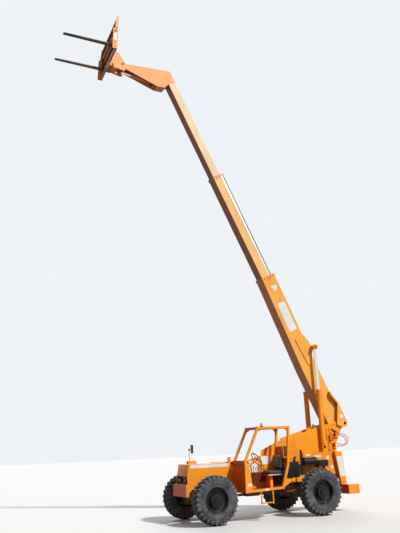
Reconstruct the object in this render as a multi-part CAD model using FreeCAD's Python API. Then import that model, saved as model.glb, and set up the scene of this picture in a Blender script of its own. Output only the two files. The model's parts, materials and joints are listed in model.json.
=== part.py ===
import FreeCAD, Part
import math
import os

from FreeCAD import Vector

# Telehandler with a three-section boom, in millimetres.
# The machine frame has x forward from the rear axle, y to the machine's left, z up from the ground.
# Every solid is shifted along x at the end, so that the origin is under the middle of the machine.

# Wheels and running gear
WHEELBASE = 3300.0
TRACK = 2250.0
TYRE_R = 638.0
TYRE_W = 366.0
TREAD_W = 330.0
LUG_H = 30.0
LUG_COUNT = 18
LUG_T = 62.0
LUG_LEAN = 38.0
LUG_PAST = 22.0
TYRE_SIDES = 24
BEAD_R = 305.0
BEAD_GAP = 0.4
RIM_W = 300.0
RIM_T = 14.0
LIP_R = 326.0
HUB_R = 165.0
SEAT_GAP = 0.3
PIN_GAP = 0.1
KINGPIN_Y = 860.0
KINGPIN_R = 30.0
AXLE_R = 105.0
DIFF_R = 205.0
FLANGE_LEN = 40.0
YOKE_Z = 165.0
YOKE_T = 40.0
SPINDLE_R = 85.0

# Boom, in its own plane: s along the boom from the pivot, n square to it
PIVOT_X = -1630.0
PIVOT_Z = 2545.0
BOOM_ANGLE = 65.3
PIVOT_PIN_R = 42.0
SEC1_END = 5215.0
SEC2_END = 8900.0
SEC3_END = 12350.0
SEC1_HALF = 205.0
SEC1_LOW, SEC1_MOUTH_LOW = -480.0, -360.0
SEC1_TOP = [(SEC1_END, 132.0), (3100.0, 97.0), (1000.0, 66.0), (-60.0, 60.0)]
SEC2_HALF = 180.0
SEC3_HALF = 158.0
SEC1_WALL = 10.0
SEC2_WALL = 8.0
SEC3_WALL = 8.0
SEC2_LOW, SEC2_HIGH = -343.0, -47.0
SEC3_LOW, SEC3_HIGH = -323.0, -67.0
SEC2_INSIDE = 1065.0
SEC3_INSIDE = 950.0
SEC2_TAIL = SEC1_END - SEC2_INSIDE
SEC3_TAIL = SEC2_END - SEC3_INSIDE
COLLAR_LEN = 70.0
COLLAR_T = 12.0
BRACKET_T = 50.0
EXT_ROD_Y, EXT_ROD_N = 95.0, 26.0
EXT_ROD_R = 34.0
CABLE_Y, CABLE_N = 150.0, 42.0
CABLE_R = 11.0
ROD_TAIL = SEC1_END - 150.0

# Ears outboard of the tower carry the boom
EAR_IN = 305.0
EAR_T = 30.0
EAR_REAR_X = -1735.0

# Lift cylinders, one each side of the boom
LIFT_Y = 376.0
LIFT_BASE_X, LIFT_BASE_Z = -740.0, 1860.0
LIFT_EYE_X, LIFT_EYE_Z = -750.0, 4920.0
LIFT_BARREL_R = 78.0
LIFT_ROD_R = 50.0
LIFT_BARREL_LEN = 1720.0
LIFT_ROD_LEN = 1600.0
LIFT_EYE_W = 106.0
LIFT_EYE_R = 85.0
LIFT_PIN_R = 35.0
EYE_GAP = 1.0
BORE_GAP = 0.4

# Boom head
HEAD_X, HEAD_Z = 5400.0, 14050.0
NOSE_R = 100.0
NOSE_WALL = 12.0
HEAD_PIN_R = 35.0
LEVEL_BASE_X, LEVEL_BASE_Z = 4480.0, 13660.0
LEVEL_EYE_X, LEVEL_EYE_Z = 5365.0, 13850.0
LEVEL_BARREL_R = 45.0
LEVEL_ROD_R = 25.0
LEVEL_BARREL_LEN = 620.0
LEVEL_ROD_LEN = 650.0
LEVEL_PIN_HALF = 70.0
CHEEK_IN = 168.0
CHEEK_T = 22.0
TILT_TOP_X, TILT_TOP_Z = 5585.0, 14360.0
TILT_EYE_X, TILT_EYE_Z = 5570.0, 13830.0
TILT_BARREL_R = 34.0
TILT_ROD_R = 20.0
TILT_BARREL_LEN = 330.0
TILT_ROD_LEN = 300.0
TILT_EYE_SLACK = 3.2
CARRIAGE_PIN_X, CARRIAGE_PIN_Z = 5740.0, 13940.0
SMALL_PIN_R = 22.0

# Fork carriage and forks
CARRIAGE_LEAN = 3.0
CARRIAGE_BACK_X = 5800.0
CARRIAGE_EAR_IN = 196.0
CARRIAGE_EAR_OUT = 230.0
GUARD_BARS = 9
CARRIAGE_LOW_Z = 14020.0
CARRIAGE_HALF = 950.0
CARRIAGE_H = 1190.0
SHAFT_UP = 640.0
SHAFT_R = 28.0
FORK_Y = 700.0
FORK_LEN = 1540.0
FORK_W = 120.0
FORK_T = 50.0
FORK_DROP = 400.0

# Frame
PLATE_IN = 250.0
PLATE_T = 25.0
FRONT_HALF = 400.0
FRONT_T = 20.0
FRONT_WALL = 16.0
BELLY_Z = 900.0
FRONT_TOP_Z = 1565.0
FRONT_REAR_X = 460.0
NOSE_AHEAD = 480.0
FRONT_END_X = WHEELBASE + NOSE_AHEAD
NOSE_BEND_Z = 1270.0
RECESS = (360.0, 1045.0, 1245.0)  # half width, z from, z to
RECESS_DEEP = 60.0
GUARD_END_X = 1372.0
BEAM_OUT = 385.0
LEG_OUT = 500.0
BUMPER_HALF = 850.0
BUMPER_FRONT_X = -1170.0
BUMPER_REAR_X = -1550.0
BUMPER_LOW_Z, BUMPER_HIGH_Z = 490.0, 750.0

# Cab, placed between the axles by shares of the wheelbase
CAB_IN = 462.0
CAB_OUT = 1215.0
TUBE = 64.0
CAB_FLOOR_Z = 800.0
A_FOOT = (0.7173 * WHEELBASE, 1570.0)
A_TOP = (0.5821 * WHEELBASE, 2453.0)
B_TOP = (0.2818 * WHEELBASE, 2453.0)
B_KNEE = (0.3151 * WHEELBASE, 1419.0)
FRONT_LOW = (0.7227 * WHEELBASE, 785.0)
REAR_LOW = (0.3770 * WHEELBASE, 830.0)
STEER_HEAD = (0.5545 * WHEELBASE, 1610.0)
STEER_FOOT = (0.6606 * WHEELBASE, 1380.0)
CAB_SHEET = 12.0
WALL_TOP_Z = 1700.0
SEAT_Y = 840.0
SEAT_X = B_KNEE[0] + 300.0
SEAT_HALF = 235.0
SEAT_TOP_Z = 1300.0
SEAT_THICK = 110.0
PEDESTAL_X = 84.0
ROOF_BARS = 7
STEP_Z = 455.0
STEP_LEGS = (0.4758 * WHEELBASE, 0.5848 * WHEELBASE)
WHEEL_RING_R = 205.0
HANDLE_Z = (1630.0, 1960.0)
HANDLE_OUT = 1155.0 - 1017.0
HANDLE_R = 12.0
CAB_MOUNTS = [  # x from, x to, z from, z to
    (REAR_LOW[0] - 84, REAR_LOW[0] + 6, 930, 1010),
    (FRONT_LOW[0] - 50, FRONT_LOW[0] + 40, 1090, 1180),
]

# Side deck between the rear wheel and the cab
DECK_Z = 1010.0
DECK_T = 16.0
DECK_OUT = 1000.0
WHEEL_ROOM = 62.0

# Hoses that loop out of the tower's left side: each has its route of (x, y, z) points
HOSE_R = 13.0
FITTING_R = 19.0
FITTING_LEN = 60.0
HOSES = [  # points, from the upper fitting to the lower one
    [(-1290, 318, 2238), (-1430, 318, 2238), (-1570, 330, 2200), (-1672, 338, 2110), (-1695, 334, 1990),
     (-1620, 326, 1905), (-1490, 318, 1888), (-1350, 316, 1930), (-1225, 316, 1930)],
    [(-1290, 358, 2180), (-1410, 358, 2180), (-1520, 368, 2125), (-1590, 370, 2020), (-1560, 366, 1915),
     (-1465, 360, 1852), (-1345, 354, 1860), (-1225, 354, 1860)],
]

# Lamps
WORK_LAMP = (-515.0, 260.0, 2500.0)

# Right side
HOOD = (0.24 * WHEELBASE, 0.7273 * WHEELBASE, -1150.0, -FRONT_HALF, 860.0, 1562.0)
HOOD_T = 8.0
HOOD_R = 60.0
LOUVRES = 7
TANK_R = 45.0

# Mirror
MIRROR_X = WHEELBASE + 90.0
MIRROR_Y = -370.0
MIRROR_TOP_Z = 2010.0


def box(x0, x1, y0, y1, z0, z1):
    return Part.makeBox(x1 - x0, y1 - y0, z1 - z0, Vector(x0, y0, z0))


def soft_box(x0, x1, y0, y1, z0, z1, r, along):
    """A box with its edges along one direction rounded."""
    body = box(x0, x1, y0, y1, z0, z1)
    edges = [e for e in body.Edges if abs(e.tangentAt(e.FirstParameter).dot(along)) > 0.99]
    return body.makeFillet(r, edges)


def profile(points, y0, y1):
    """A plate in the x-z plane, from y0 to y1."""
    corners = [Vector(x, y0, z) for x, z in points]
    wire = Part.makePolygon(corners + corners[:1])
    return Part.Face(wire).extrude(Vector(0, y1 - y0, 0))


def plan(points, z0, z1):
    """A plate in the x-y plane, from z0 to z1."""
    corners = [Vector(x, y, z0) for x, y in points]
    wire = Part.makePolygon(corners + corners[:1])
    return Part.Face(wire).extrude(Vector(0, 0, z1 - z0))


def across(x, z, r, y0, y1):
    """A round bar along y."""
    return Part.makeCylinder(r, y1 - y0, Vector(x, y0, z), Vector(0, 1, 0))


def bar(a, b, r):
    """A round bar between two points."""
    a, b = Vector(*a), Vector(*b)
    return Part.makeCylinder(r, (b - a).Length, a, b - a)


def square_tube(a, b, size):
    """A square bar in the x-z plane between two points (x, y, z) with the same y."""
    a, b = Vector(*a), Vector(*b)
    run = (b - a).normalize()
    side = Vector(-run.z, 0, run.x) * (size / 2)
    a, b = a - run * (size / 2), b + run * (size / 2)
    half = size / 2
    corners = [(p.x, p.z) for p in (a + side, b + side, b - side, a - side)]
    return profile(corners, a.y - half, a.y + half)


def fuse(shapes):
    shapes = list(shapes)
    return shapes[0].multiFuse(shapes[1:]).removeSplitter() if len(shapes) > 1 else shapes[0]


def both_sides(shape):
    return [shape, shape.mirror(Vector(0, 0, 0), Vector(0, 1, 0))]


def along_boom(shape):
    """Takes a solid drawn with x = s and z = n to the raised boom."""
    copy = shape.copy()
    copy.rotate(Vector(0, 0, 0), Vector(0, 1, 0), -BOOM_ANGLE)
    copy.translate(Vector(PIVOT_X, 0, PIVOT_Z))
    return copy


def boom_point(s, n):
    a = math.radians(BOOM_ANGLE)
    return (PIVOT_X + s * math.cos(a) - n * math.sin(a),
            PIVOT_Z + s * math.sin(a) + n * math.cos(a))


def on_boom(x, z):
    a = math.radians(BOOM_ANGLE)
    dx, dz = x - PIVOT_X, z - PIVOT_Z
    return (dx * math.cos(a) + dz * math.sin(a), -dx * math.sin(a) + dz * math.cos(a))


def barrel(base, eye, y, r, length, bore, eye_w, pin_r):
    """A cylinder barrel on its base eye, open at the rod's end."""
    a = Vector(base[0], y, base[1])
    run = (Vector(eye[0], y, eye[1]) - a).normalize()
    body = Part.makeCylinder(r, length - pin_r, a + run * pin_r, run)
    gland = Part.makeCylinder(1.1 * r, 0.8 * r, a + run * (length - 0.8 * r), run)
    lug = across(base[0], base[1], r, y - eye_w / 2, y + eye_w / 2)
    hole = Part.makeCylinder(bore, length, a + run * (r + 20), run)
    pin = across(base[0], base[1], pin_r + PIN_GAP, y - 2 * r, y + 2 * r)
    return fuse([body, gland, lug]).cut(hole).cut(pin)


def rod(base, eye, y, r, length, eye_r, eye_w):
    """A cylinder rod with its eye, which is still solid."""
    b = Vector(eye[0], y, eye[1])
    run = (Vector(base[0], y, base[1]) - b).normalize()
    shaft = Part.makeCylinder(r, length, b, run)
    return fuse([shaft, across(eye[0], eye[1], eye_r, y - eye_w / 2, y + eye_w / 2)])


def carriage_point(back, up):
    """A point of the leaning carriage: back is forward of its rear plane, up from its foot."""
    a = math.radians(CARRIAGE_LEAN)
    return (CARRIAGE_BACK_X + back * math.cos(a) - up * math.sin(a),
            CARRIAGE_LOW_Z + back * math.sin(a) + up * math.cos(a))


def on_carriage(shape):
    """Takes a solid drawn from the carriage's foot (x forward, z up) to its place."""
    copy = shape.copy()
    copy.rotate(Vector(0, 0, 0), Vector(0, 1, 0), -CARRIAGE_LEAN)
    copy.translate(Vector(CARRIAGE_BACK_X, 0, CARRIAGE_LOW_Z))
    return copy


CARRIAGE_DEPTH = 150.0
FORK_FACE = CARRIAGE_DEPTH / 2 + FORK_T / 2
FORK_TIP_X = carriage_point(FORK_FACE + FORK_LEN, SHAFT_UP - FORK_DROP)[0]
MID_X = (FORK_TIP_X + EAR_REAR_X) / 2

SOLIDS = {}


def keep(name, shape):
    shape = shape.copy()
    shape.translate(Vector(-MID_X, 0, 0))
    SOLIDS[name] = shape


# Frame: two tower plates, the belly and the cross members between them
def tower_plate():
    outline = [(FRONT_REAR_X, BELLY_Z), (FRONT_REAR_X, 1430), (388, 2167), (-674, 2449), (-1095, 2545),
               (-1500, 2640), (-1600, PIVOT_Z + 70), (-1660, PIVOT_Z - 70), (-1560, 2450),
               (-1250, 1900), (-1300, BELLY_Z)]
    plate = profile(outline, PLATE_IN, PLATE_IN + PLATE_T)
    boss = across(PIVOT_X, PIVOT_Z, 100, PLATE_IN, PLATE_IN + PLATE_T)
    lug = across(LIFT_BASE_X, LIFT_BASE_Z, 95, PLATE_IN, PLATE_IN + PLATE_T)
    return fuse([plate, boss, lug])


def driver_guard():
    """The left tower plate runs on forward, between the boom and the driver."""
    outline = [(388, 2167), (847, 2065), (GUARD_END_X, 1836), (GUARD_END_X, 1200), (FRONT_REAR_X, 1200),
               (FRONT_REAR_X, 1430)]
    return profile(outline, PLATE_IN, PLATE_IN + PLATE_T)


def hose_fittings():
    """The upper and lower bulkheads on the tower's left face, with a round fitting for each hose's end."""
    shapes = []
    for end in (0, -1):
        ends = [route[end] for route in HOSES]
        x = ends[0][0] + FITTING_LEN
        shapes.append(box(x - 2, x + 14, PLATE_IN + PLATE_T - 1, max(q[1] for q in ends) + 32,
                          min(q[2] for q in ends) - 32, max(q[2] for q in ends) + 32))
        shapes += [bar((q[0], q[1], q[2]), (x, q[1], q[2]), FITTING_R) for q in ends]
    return shapes


def hose(route):
    """A hose whose straight runs are joined by arcs as large as the runs allow."""
    points = [Vector(*q) for q in route]
    edges, start, radii = [], points[0], []
    for before, here, after in zip(points, points[1:], points[2:]):
        into, out = (here - before).normalize(), (after - here).normalize()
        half = into.getAngle(out) / 2
        cut = 0.45 * min((here - before).Length, (after - here).Length)
        radii.append(cut / math.tan(half))
        first, last = here - into * cut, here + out * cut
        middle = (out - into).normalize() * (radii[-1] / math.cos(half) - radii[-1]) + here
        edges += [Part.LineSegment(start, first).toShape(), Part.Arc(first, middle, last).toShape()]
        start = last
    edges.append(Part.LineSegment(start, points[-1]).toShape())
    path = Part.Wire(edges)
    circle = Part.Circle(points[0], points[1] - points[0], HOSE_R)
    tube = path.makePipeShell([Part.Wire(circle.toShape())], True, True)
    print("hose", round(path.Length), "mm, least radius", round(min(radii)),
          "volume share", round(tube.Volume / (math.pi * HOSE_R ** 2 * path.Length), 3))
    return tube


def rear_frame():
    plates = both_sides(tower_plate()) + [driver_guard()]
    inside = PLATE_IN
    belly = box(-1290, FRONT_REAR_X, -inside, inside, BELLY_Z, BELLY_Z + 20)
    front_wall = box(FRONT_REAR_X - 40, FRONT_REAR_X - 20, -inside, inside, BELLY_Z, 1740)
    rear_wall = profile([(-1150, BELLY_Z), (-1130, BELLY_Z), (-1110, 1950), (-1130, 1950)], -inside, inside)
    beam = [(30, 1720), (-1040, 1705), (-1120, 1050), (-750, 1050), (-700, 1460), (30, 1480)]
    beams = both_sides(profile(beam, BEAM_OUT - 12, BEAM_OUT))
    caps = both_sides(profile([(30, 1720), (-1040, 1705), (-1040, 1690), (30, 1705)],
                              PLATE_IN + PLATE_T, BEAM_OUT))
    ends = both_sides(box(10, 30, PLATE_IN + PLATE_T, BEAM_OUT, 1480, 1715))
    pin = across(PIVOT_X, PIVOT_Z, PIVOT_PIN_R, -(EAR_IN + EAR_T + 12), EAR_IN + EAR_T + 12)
    lift_pins = both_sides(across(LIFT_BASE_X, LIFT_BASE_Z, LIFT_PIN_R, PLATE_IN, LIFT_Y + LIFT_EYE_W / 2 + 12))
    inner = [belly, front_wall, rear_wall, pin]
    return fuse(plates + inner + beams + caps + ends + lift_pins + hose_fittings())


def front_frame():
    """A box open to the rear, with side plates that drop ahead of the axle's belly."""
    low, t, inside, end, axle_x = BELLY_Z - 120, FRONT_WALL, FRONT_HALF - FRONT_T, FRONT_END_X, WHEELBASE
    top_z, deck_z = FRONT_TOP_Z, 1200
    side = [(FRONT_REAR_X, BELLY_Z), (axle_x - 870, BELLY_Z), (axle_x - 740, low), (axle_x - 500, low),
            (axle_x - 340, BELLY_Z), (axle_x + 340, BELLY_Z), (end, low), (end, NOSE_BEND_Z),
            (end - 60, top_z), (axle_x - 840, top_z - 10), (axle_x - 1100, deck_z), (FRONT_REAR_X, deck_z)]
    room = [(FRONT_REAR_X - 1, BELLY_Z + t), (end - t, BELLY_Z + t), (end - t, NOSE_BEND_Z),
            (end - 60 - t, top_z - t), (axle_x - 840 + t / 2, top_z - 10 - t),
            (axle_x - 1100 + t / 2, deck_z - t), (FRONT_REAR_X - 1, deck_z - t)]
    body = profile(side, -FRONT_HALF, FRONT_HALF).cut(profile(room, -inside, inside))
    body = body.cut(box(axle_x - 870, end - t, -inside, inside, low - 1, BELLY_Z))
    half, z0, z1 = RECESS
    pocket = box(end - RECESS_DEEP, end + 1, -half, half, z0, z1)
    tray = box(end - RECESS_DEEP - 8, end - 1, -half - 8, half + 8, z0 - 8, z1 + 8)
    body = fuse([body, tray]).cut(pocket)
    cab_mounts = [box(x0, x1, FRONT_HALF - 1, CAB_IN - SEAT_GAP, z0, z1) for x0, x1, z0, z1 in CAB_MOUNTS]
    foot = box(MIRROR_X - 169, MIRROR_X + 82, -FRONT_HALF, -250, top_z - 6, top_z + 75)
    post = bar((MIRROR_X, MIRROR_Y, top_z + 70), (MIRROR_X, MIRROR_Y, MIRROR_TOP_Z), 12)
    stop = box(axle_x - 880, axle_x - 800, 330, 390, top_z - 12, top_z + 140)
    return fuse([body] + cab_mounts + [foot, post, stop])


def rear_leg():
    outline = [(-1035, 1712), (-1280, 1700), (-1365, BUMPER_HIGH_Z), (-1175, BUMPER_HIGH_Z)]
    outer = profile(outline, BEAM_OUT, LEG_OUT)
    inner = profile([(-1130, 1708), (-1280, 1700), (-1365, BUMPER_HIGH_Z), (-1303, BUMPER_HIGH_Z)],
                    PLATE_IN + PLATE_T, BEAM_OUT)
    return fuse([outer, inner])


def bumper():
    return box(BUMPER_REAR_X, BUMPER_FRONT_X, -BUMPER_HALF, BUMPER_HALF, BUMPER_LOW_Z, BUMPER_HIGH_Z)


def front_bumper():
    return box(FRONT_END_X, FRONT_END_X + 90, -500, 500, 715, 1030)


# Wheels
def ring_solid(section, sides):
    """A closed ring about the y axis with flat sides, from a section of (r, y) points."""
    faces = []
    turns = [2 * math.pi * k / sides for k in range(sides + 1)]
    for a, b in zip(turns, turns[1:]):
        for (r0, y0), (r1, y1) in zip(section, section[1:] + section[:1]):
            places = [(r0, y0, a), (r1, y1, a), (r1, y1, b), (r0, y0, b)]
            corners = [Vector(r * math.cos(turn), y, r * math.sin(turn)) for r, y, turn in places]
            faces.append(Part.Face(Part.makePolygon(corners + corners[:1])))
    shell = Part.makeShell(faces)
    shell.sewShape()
    solid = Part.makeSolid(shell)
    if solid.Volume < 0:
        solid.reverse()
    return solid


def tyre():
    """One tyre about the y axis at the origin, with a chevron lug on each half of its tread in turn."""
    half, tread = TYRE_W / 2, TREAD_W / 2
    carcass_r = TYRE_R - LUG_H
    flats = math.cos(math.pi / TYRE_SIDES)
    bore, lip = (BEAD_R + BEAD_GAP) / flats, (LIP_R + BEAD_GAP) / flats
    section = [(bore, -RIM_W / 2 + 30), (bore, RIM_W / 2 - 30), (lip, RIM_W / 2),
               (470, half), (560, half - 6), (carcass_r, tread), (carcass_r, -tread),
               (560, -half + 6), (470, -half), (lip, -RIM_W / 2)]
    body = ring_solid(section, TYRE_SIDES)
    lean = math.tan(math.radians(LUG_LEAN))
    reach, root, tip = tread + 8, carcass_r - 14, LUG_T / 2 - 6
    top = math.sqrt(TYRE_R ** 2 - (reach * lean / 2 + LUG_PAST * lean + tip) ** 2)
    lugs = []
    for i in range(2 * LUG_COUNT):
        side = 1 if i % 2 else -1
        foot = [Vector(root, 0, -LUG_T / 2), Vector(root, 0, LUG_T / 2),
                Vector(top, 0, tip), Vector(top, 0, -tip)]
        length = reach + LUG_PAST
        lug = Part.Face(Part.makePolygon(foot + foot[:1])).extrude(Vector(0, length, length * lean))
        lug.translate(Vector(0, -LUG_PAST, -reach * lean / 2))
        if side < 0:
            lug = lug.mirror(Vector(0, 0, 0), Vector(0, 1, 0))
        lug.rotate(Vector(0, 0, 0), Vector(0, 1, 0), 180.0 * i / LUG_COUNT)
        lugs.append(lug)
    return body.multiFuse(lugs)


def rim():
    """One rim with its drive hub, about the y axis at the origin, outside towards +y."""
    r = BEAD_R - SEAT_GAP
    half = RIM_W / 2
    section = [(r, -half + 30), (r, half - 30), (LIP_R, half), (LIP_R, half + 14), (LIP_R - 14, half + 14),
               (r - RIM_T, half - 24), (r - RIM_T, 50), (HUB_R + 30, 30), (0, 30), (0, -6),
               (HUB_R + 30, -6), (r - RIM_T, 14), (r - RIM_T, -half + 24), (LIP_R - 14, -half - 14),
               (LIP_R, -half - 14), (LIP_R, -half)]
    corners = [Vector(x, y, 0) for x, y in section]
    face = Part.Face(Part.makePolygon(corners + corners[:1]))
    body = face.revolve(Vector(0, 0, 0), Vector(0, 1, 0), 360)
    drum = Part.makeCylinder(HUB_R, 120, Vector(0, 20, 0), Vector(0, 1, 0))
    cap = Part.makeCylinder(95, 40, Vector(0, 130, 0), Vector(0, 1, 0))
    return fuse([body, drum, cap])


WHEEL_PLACES = [  # name, x, side (1 is left)
    ("front_left", WHEELBASE, 1),
    ("front_right", WHEELBASE, -1),
    ("rear_left", 0.0, 1),
    ("rear_right", 0.0, -1),
]


def axle(x, facing):
    """An axle housing with its differential, pads to the frame and yokes at its ends.

    The drive flange faces the middle of the machine: facing is 1 forward, -1 back."""
    z = TYRE_R
    flange = bar((x, 0, z), (x + facing * (DIFF_R + FLANGE_LEN), 0, z), 70)
    tube = across(x, z, AXLE_R, -KINGPIN_Y + 90, KINGPIN_Y - 90)
    bowl = Part.makeSphere(DIFF_R, Vector(x, 0, z))
    pads = both_sides(box(x - 110, x + 110, 150, 330, z + 40, BELLY_Z))
    arms = []
    for sign in (1, -1):
        z0 = z + sign * YOKE_Z
        low, high = min(z0, z0 + sign * YOKE_T), max(z0, z0 + sign * YOKE_T)
        arm = plan([(x - 75, KINGPIN_Y - 150), (x - 60, KINGPIN_Y + 50), (x + 60, KINGPIN_Y + 50),
                    (x + 75, KINGPIN_Y - 150)], low, high)
        arms += both_sides(arm)
    webs = both_sides(box(x - 75, x + 75, KINGPIN_Y - 150, KINGPIN_Y - 100,
                          z - YOKE_Z - YOKE_T, z + YOKE_Z + YOKE_T))
    body = fuse([tube, bowl, flange] + pads + arms + webs)
    for hole in both_sides(Part.makeCylinder(KINGPIN_R + PIN_GAP, 600, Vector(x, KINGPIN_Y, z - 300))):
        body = body.cut(hole)
    return body


def knuckle():
    """A left knuckle, on its kingpin at the origin."""
    block = Part.makeCylinder(70, 2 * (YOKE_Z - SEAT_GAP), Vector(0, 0, -YOKE_Z + SEAT_GAP))
    pin = Part.makeCylinder(KINGPIN_R, 2 * (YOKE_Z + YOKE_T), Vector(0, 0, -YOKE_Z - YOKE_T))
    spindle = across(0, 0, SPINDLE_R, 0, TRACK / 2 - KINGPIN_Y - 6 - SEAT_GAP)
    return fuse([block, pin, spindle])


def place_side(shape, x, side):
    copy = shape.copy()
    if side < 0:
        copy = copy.mirror(Vector(0, 0, 0), Vector(0, 1, 0))
    copy.translate(Vector(x, 0, TYRE_R))
    return copy


def at_y(shape, y):
    copy = shape.copy()
    copy.translate(Vector(0, y, 0))
    return copy


# Boom
def section_1():
    low, mouth_low = SEC1_LOW, SEC1_MOUTH_LOW
    outer = [(120, low), (2000, low), (SEC1_END, mouth_low)] + SEC1_TOP
    w = SEC1_WALL
    mouth, second, third, last = SEC1_TOP
    inner = [(300, low + w), (2000, low + w), (SEC1_END + 1, mouth_low + w), (SEC1_END + 1, mouth[1] - w),
             (second[0], second[1] - w), (third[0], third[1] - w), (300, last[1] - w)]
    body = profile(outer, -SEC1_HALF, SEC1_HALF)
    body = body.cut(profile(inner, -SEC1_HALF + w, SEC1_HALF - w))
    collar = [(SEC1_END - COLLAR_LEN, mouth_low - 16), (SEC1_END, mouth_low - 12),
              (SEC1_END, mouth[1] + 16), (SEC1_END - COLLAR_LEN, mouth[1] + 12)]
    collar = profile(collar, -SEC1_HALF - COLLAR_T, SEC1_HALF + COLLAR_T)
    hole = profile(inner, -SEC1_HALF + w, SEC1_HALF - w)
    collar = collar.cut(hole)
    s0, s1 = SEC1_END - 130, SEC1_END - 20
    slide = [box(s0, s1, -150, 150, mouth_low - 5, SEC2_LOW - SEAT_GAP)]
    slide += both_sides(box(s0, s1, SEC2_HALF + SEAT_GAP, SEC1_HALF - 5, SEC2_LOW + 63, SEC2_HIGH - 63))
    slide.append(box(s0, s1, -160, 30, SEC2_HIGH + SEAT_GAP, mouth[1] - 6))
    gland = box(SEC1_END - 60, SEC1_END - 20, 45, 190, EXT_ROD_N - EXT_ROD_R - 8, mouth[1] - 6)
    gland = gland.cut(bar((s0, EXT_ROD_Y, EXT_ROD_N), (SEC1_END, EXT_ROD_Y, EXT_ROD_N), EXT_ROD_R + BORE_GAP))
    gland = gland.cut(bar((s0, CABLE_Y, CABLE_N), (SEC1_END, CABLE_Y, CABLE_N), CABLE_R + BORE_GAP))
    lug = profile([(2050, -200), (2450, 180), (2760, 190), (3150, 60), (3000, -250)],
                  SEC1_HALF, SEC1_HALF + 22)
    eye_s, eye_n = on_boom(LIFT_EYE_X, LIFT_EYE_Z)
    boss = across(eye_s, eye_n, LIFT_EYE_R, SEC1_HALF, LIFT_Y - LIFT_EYE_W / 2 - EYE_GAP)
    ear = [(1075, 15), (on_boom(-1463, 3177)[0], on_boom(-1463, 3177)[1]),
           on_boom(EAR_REAR_X, 2570), on_boom(-1690, 2440), on_boom(-1560, 2410), on_boom(-1350, 2500),
           on_boom(-1434, 3150), (990, -30)]
    ear_out = EAR_IN + EAR_T
    ears = both_sides(profile(ear, EAR_IN, ear_out))
    back = profile([(1075, 15), on_boom(-1463, 3177), on_boom(-1600, 2870), on_boom(-1580, 2865),
                    on_boom(-1440, 3165), (1050, -10)], -ear_out, ear_out)
    back = back.cut(box(0, 2000, -SEC1_HALF + w, SEC1_HALF - w, -470, 48))
    shapes = [body, collar, gland] + slide + both_sides(lug) + both_sides(boss) + ears + [back]
    body = fuse(shapes)
    return body.cut(across(0, 0, PIVOT_PIN_R + PIN_GAP, -500, 500))


def box_section(s0, s1, low, high, half, wall, collar_len):
    body = profile([(s0, low), (s1, low), (s1, high), (s0, high)], -half, half)
    hole = profile([(s0 - 1, low + wall), (s1 + 1, low + wall), (s1 + 1, high - wall),
                    (s0 - 1, high - wall)], -half + wall, half - wall)
    parts = [body]
    if collar_len:
        parts.append(box(s1 - collar_len, s1, -half - COLLAR_T, half + COLLAR_T,
                         low - COLLAR_T, high + COLLAR_T))
    return fuse(parts).cut(hole)


def slide_pads(s0, s1, outer_half, outer, inner_half, inner):
    """Wear pads on the inside of a section's mouth that carry the next section in it."""
    low, high = outer
    in_low, in_high = inner
    pads = [box(s0, s1, -inner_half + 20, inner_half - 20, low, in_low - SEAT_GAP),
            box(s0, s1, -inner_half + 20, inner_half - 20, in_high + SEAT_GAP, high)]
    middle, reach = (in_low + in_high) / 2, (in_high - in_low) / 3
    pads += both_sides(box(s0, s1, inner_half + SEAT_GAP, outer_half, middle - reach, middle + reach))
    return pads


def section_2():
    tube = box_section(SEC2_TAIL, SEC2_END, SEC2_LOW, SEC2_HIGH, SEC2_HALF, SEC2_WALL, COLLAR_LEN)
    bracket = box(SEC2_END - BRACKET_T, SEC2_END, -30, SEC2_HALF - 5, SEC2_HIGH, 70)
    w = SEC2_WALL / 2
    pads = slide_pads(SEC2_END - 120, SEC2_END - 10, SEC2_HALF - w, (SEC2_LOW + w, SEC2_HIGH - w),
                      SEC3_HALF, (SEC3_LOW, SEC3_HIGH))
    return fuse([tube, bracket] + pads)


def extend_rod():
    end = SEC2_END - BRACKET_T
    rod_bar = bar((ROD_TAIL, EXT_ROD_Y, EXT_ROD_N), (end, EXT_ROD_Y, EXT_ROD_N), EXT_ROD_R)
    cable = bar((ROD_TAIL, CABLE_Y, CABLE_N), (end, CABLE_Y, CABLE_N), CABLE_R)
    return rod_bar, cable


def section_3():
    return box_section(SEC3_TAIL, SEC3_END, SEC3_LOW, SEC3_HIGH, SEC3_HALF, SEC3_WALL, 0)


def gooseneck():
    root_low = boom_point(SEC3_END, SEC3_LOW)
    root_high = boom_point(SEC3_END, SEC3_HIGH)
    top = [root_high, boom_point(SEC3_END + 420, SEC3_HIGH), (5233, 14085)]
    nose_top = (HEAD_X, HEAD_Z + NOSE_R)
    nose_low = (HEAD_X + NOSE_R * math.sin(math.radians(21.7)), HEAD_Z - NOSE_R * math.cos(math.radians(21.7)))
    outline = top + [nose_top, nose_low, (4236, 13479), (3960, 13470), root_low]
    half = SEC3_HALF
    body = profile(outline, -half, half)
    nose = across(HEAD_X, HEAD_Z, NOSE_R, -half, half)
    body = fuse([body, nose])
    w = NOSE_WALL
    inner = [(3800, 13700), (3850, 13990), (5200, 14060), (5260, 14050), (5280, 13960), (4236, 13540),
             (3930, 13540)]
    body = body.cut(profile(inner, -half + w, half - w))
    slot = profile([(4330, 13400), (4330, 13800), (5250, 14000), (5600, 13960), (5600, 13400)], -75, 75)
    body = body.cut(slot)
    pins = [across(HEAD_X, HEAD_Z, HEAD_PIN_R, -CHEEK_IN - CHEEK_T - 8, CHEEK_IN + CHEEK_T + 8),
            across(LEVEL_BASE_X, LEVEL_BASE_Z, SMALL_PIN_R, -half, half)]
    return fuse([body] + pins)


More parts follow.
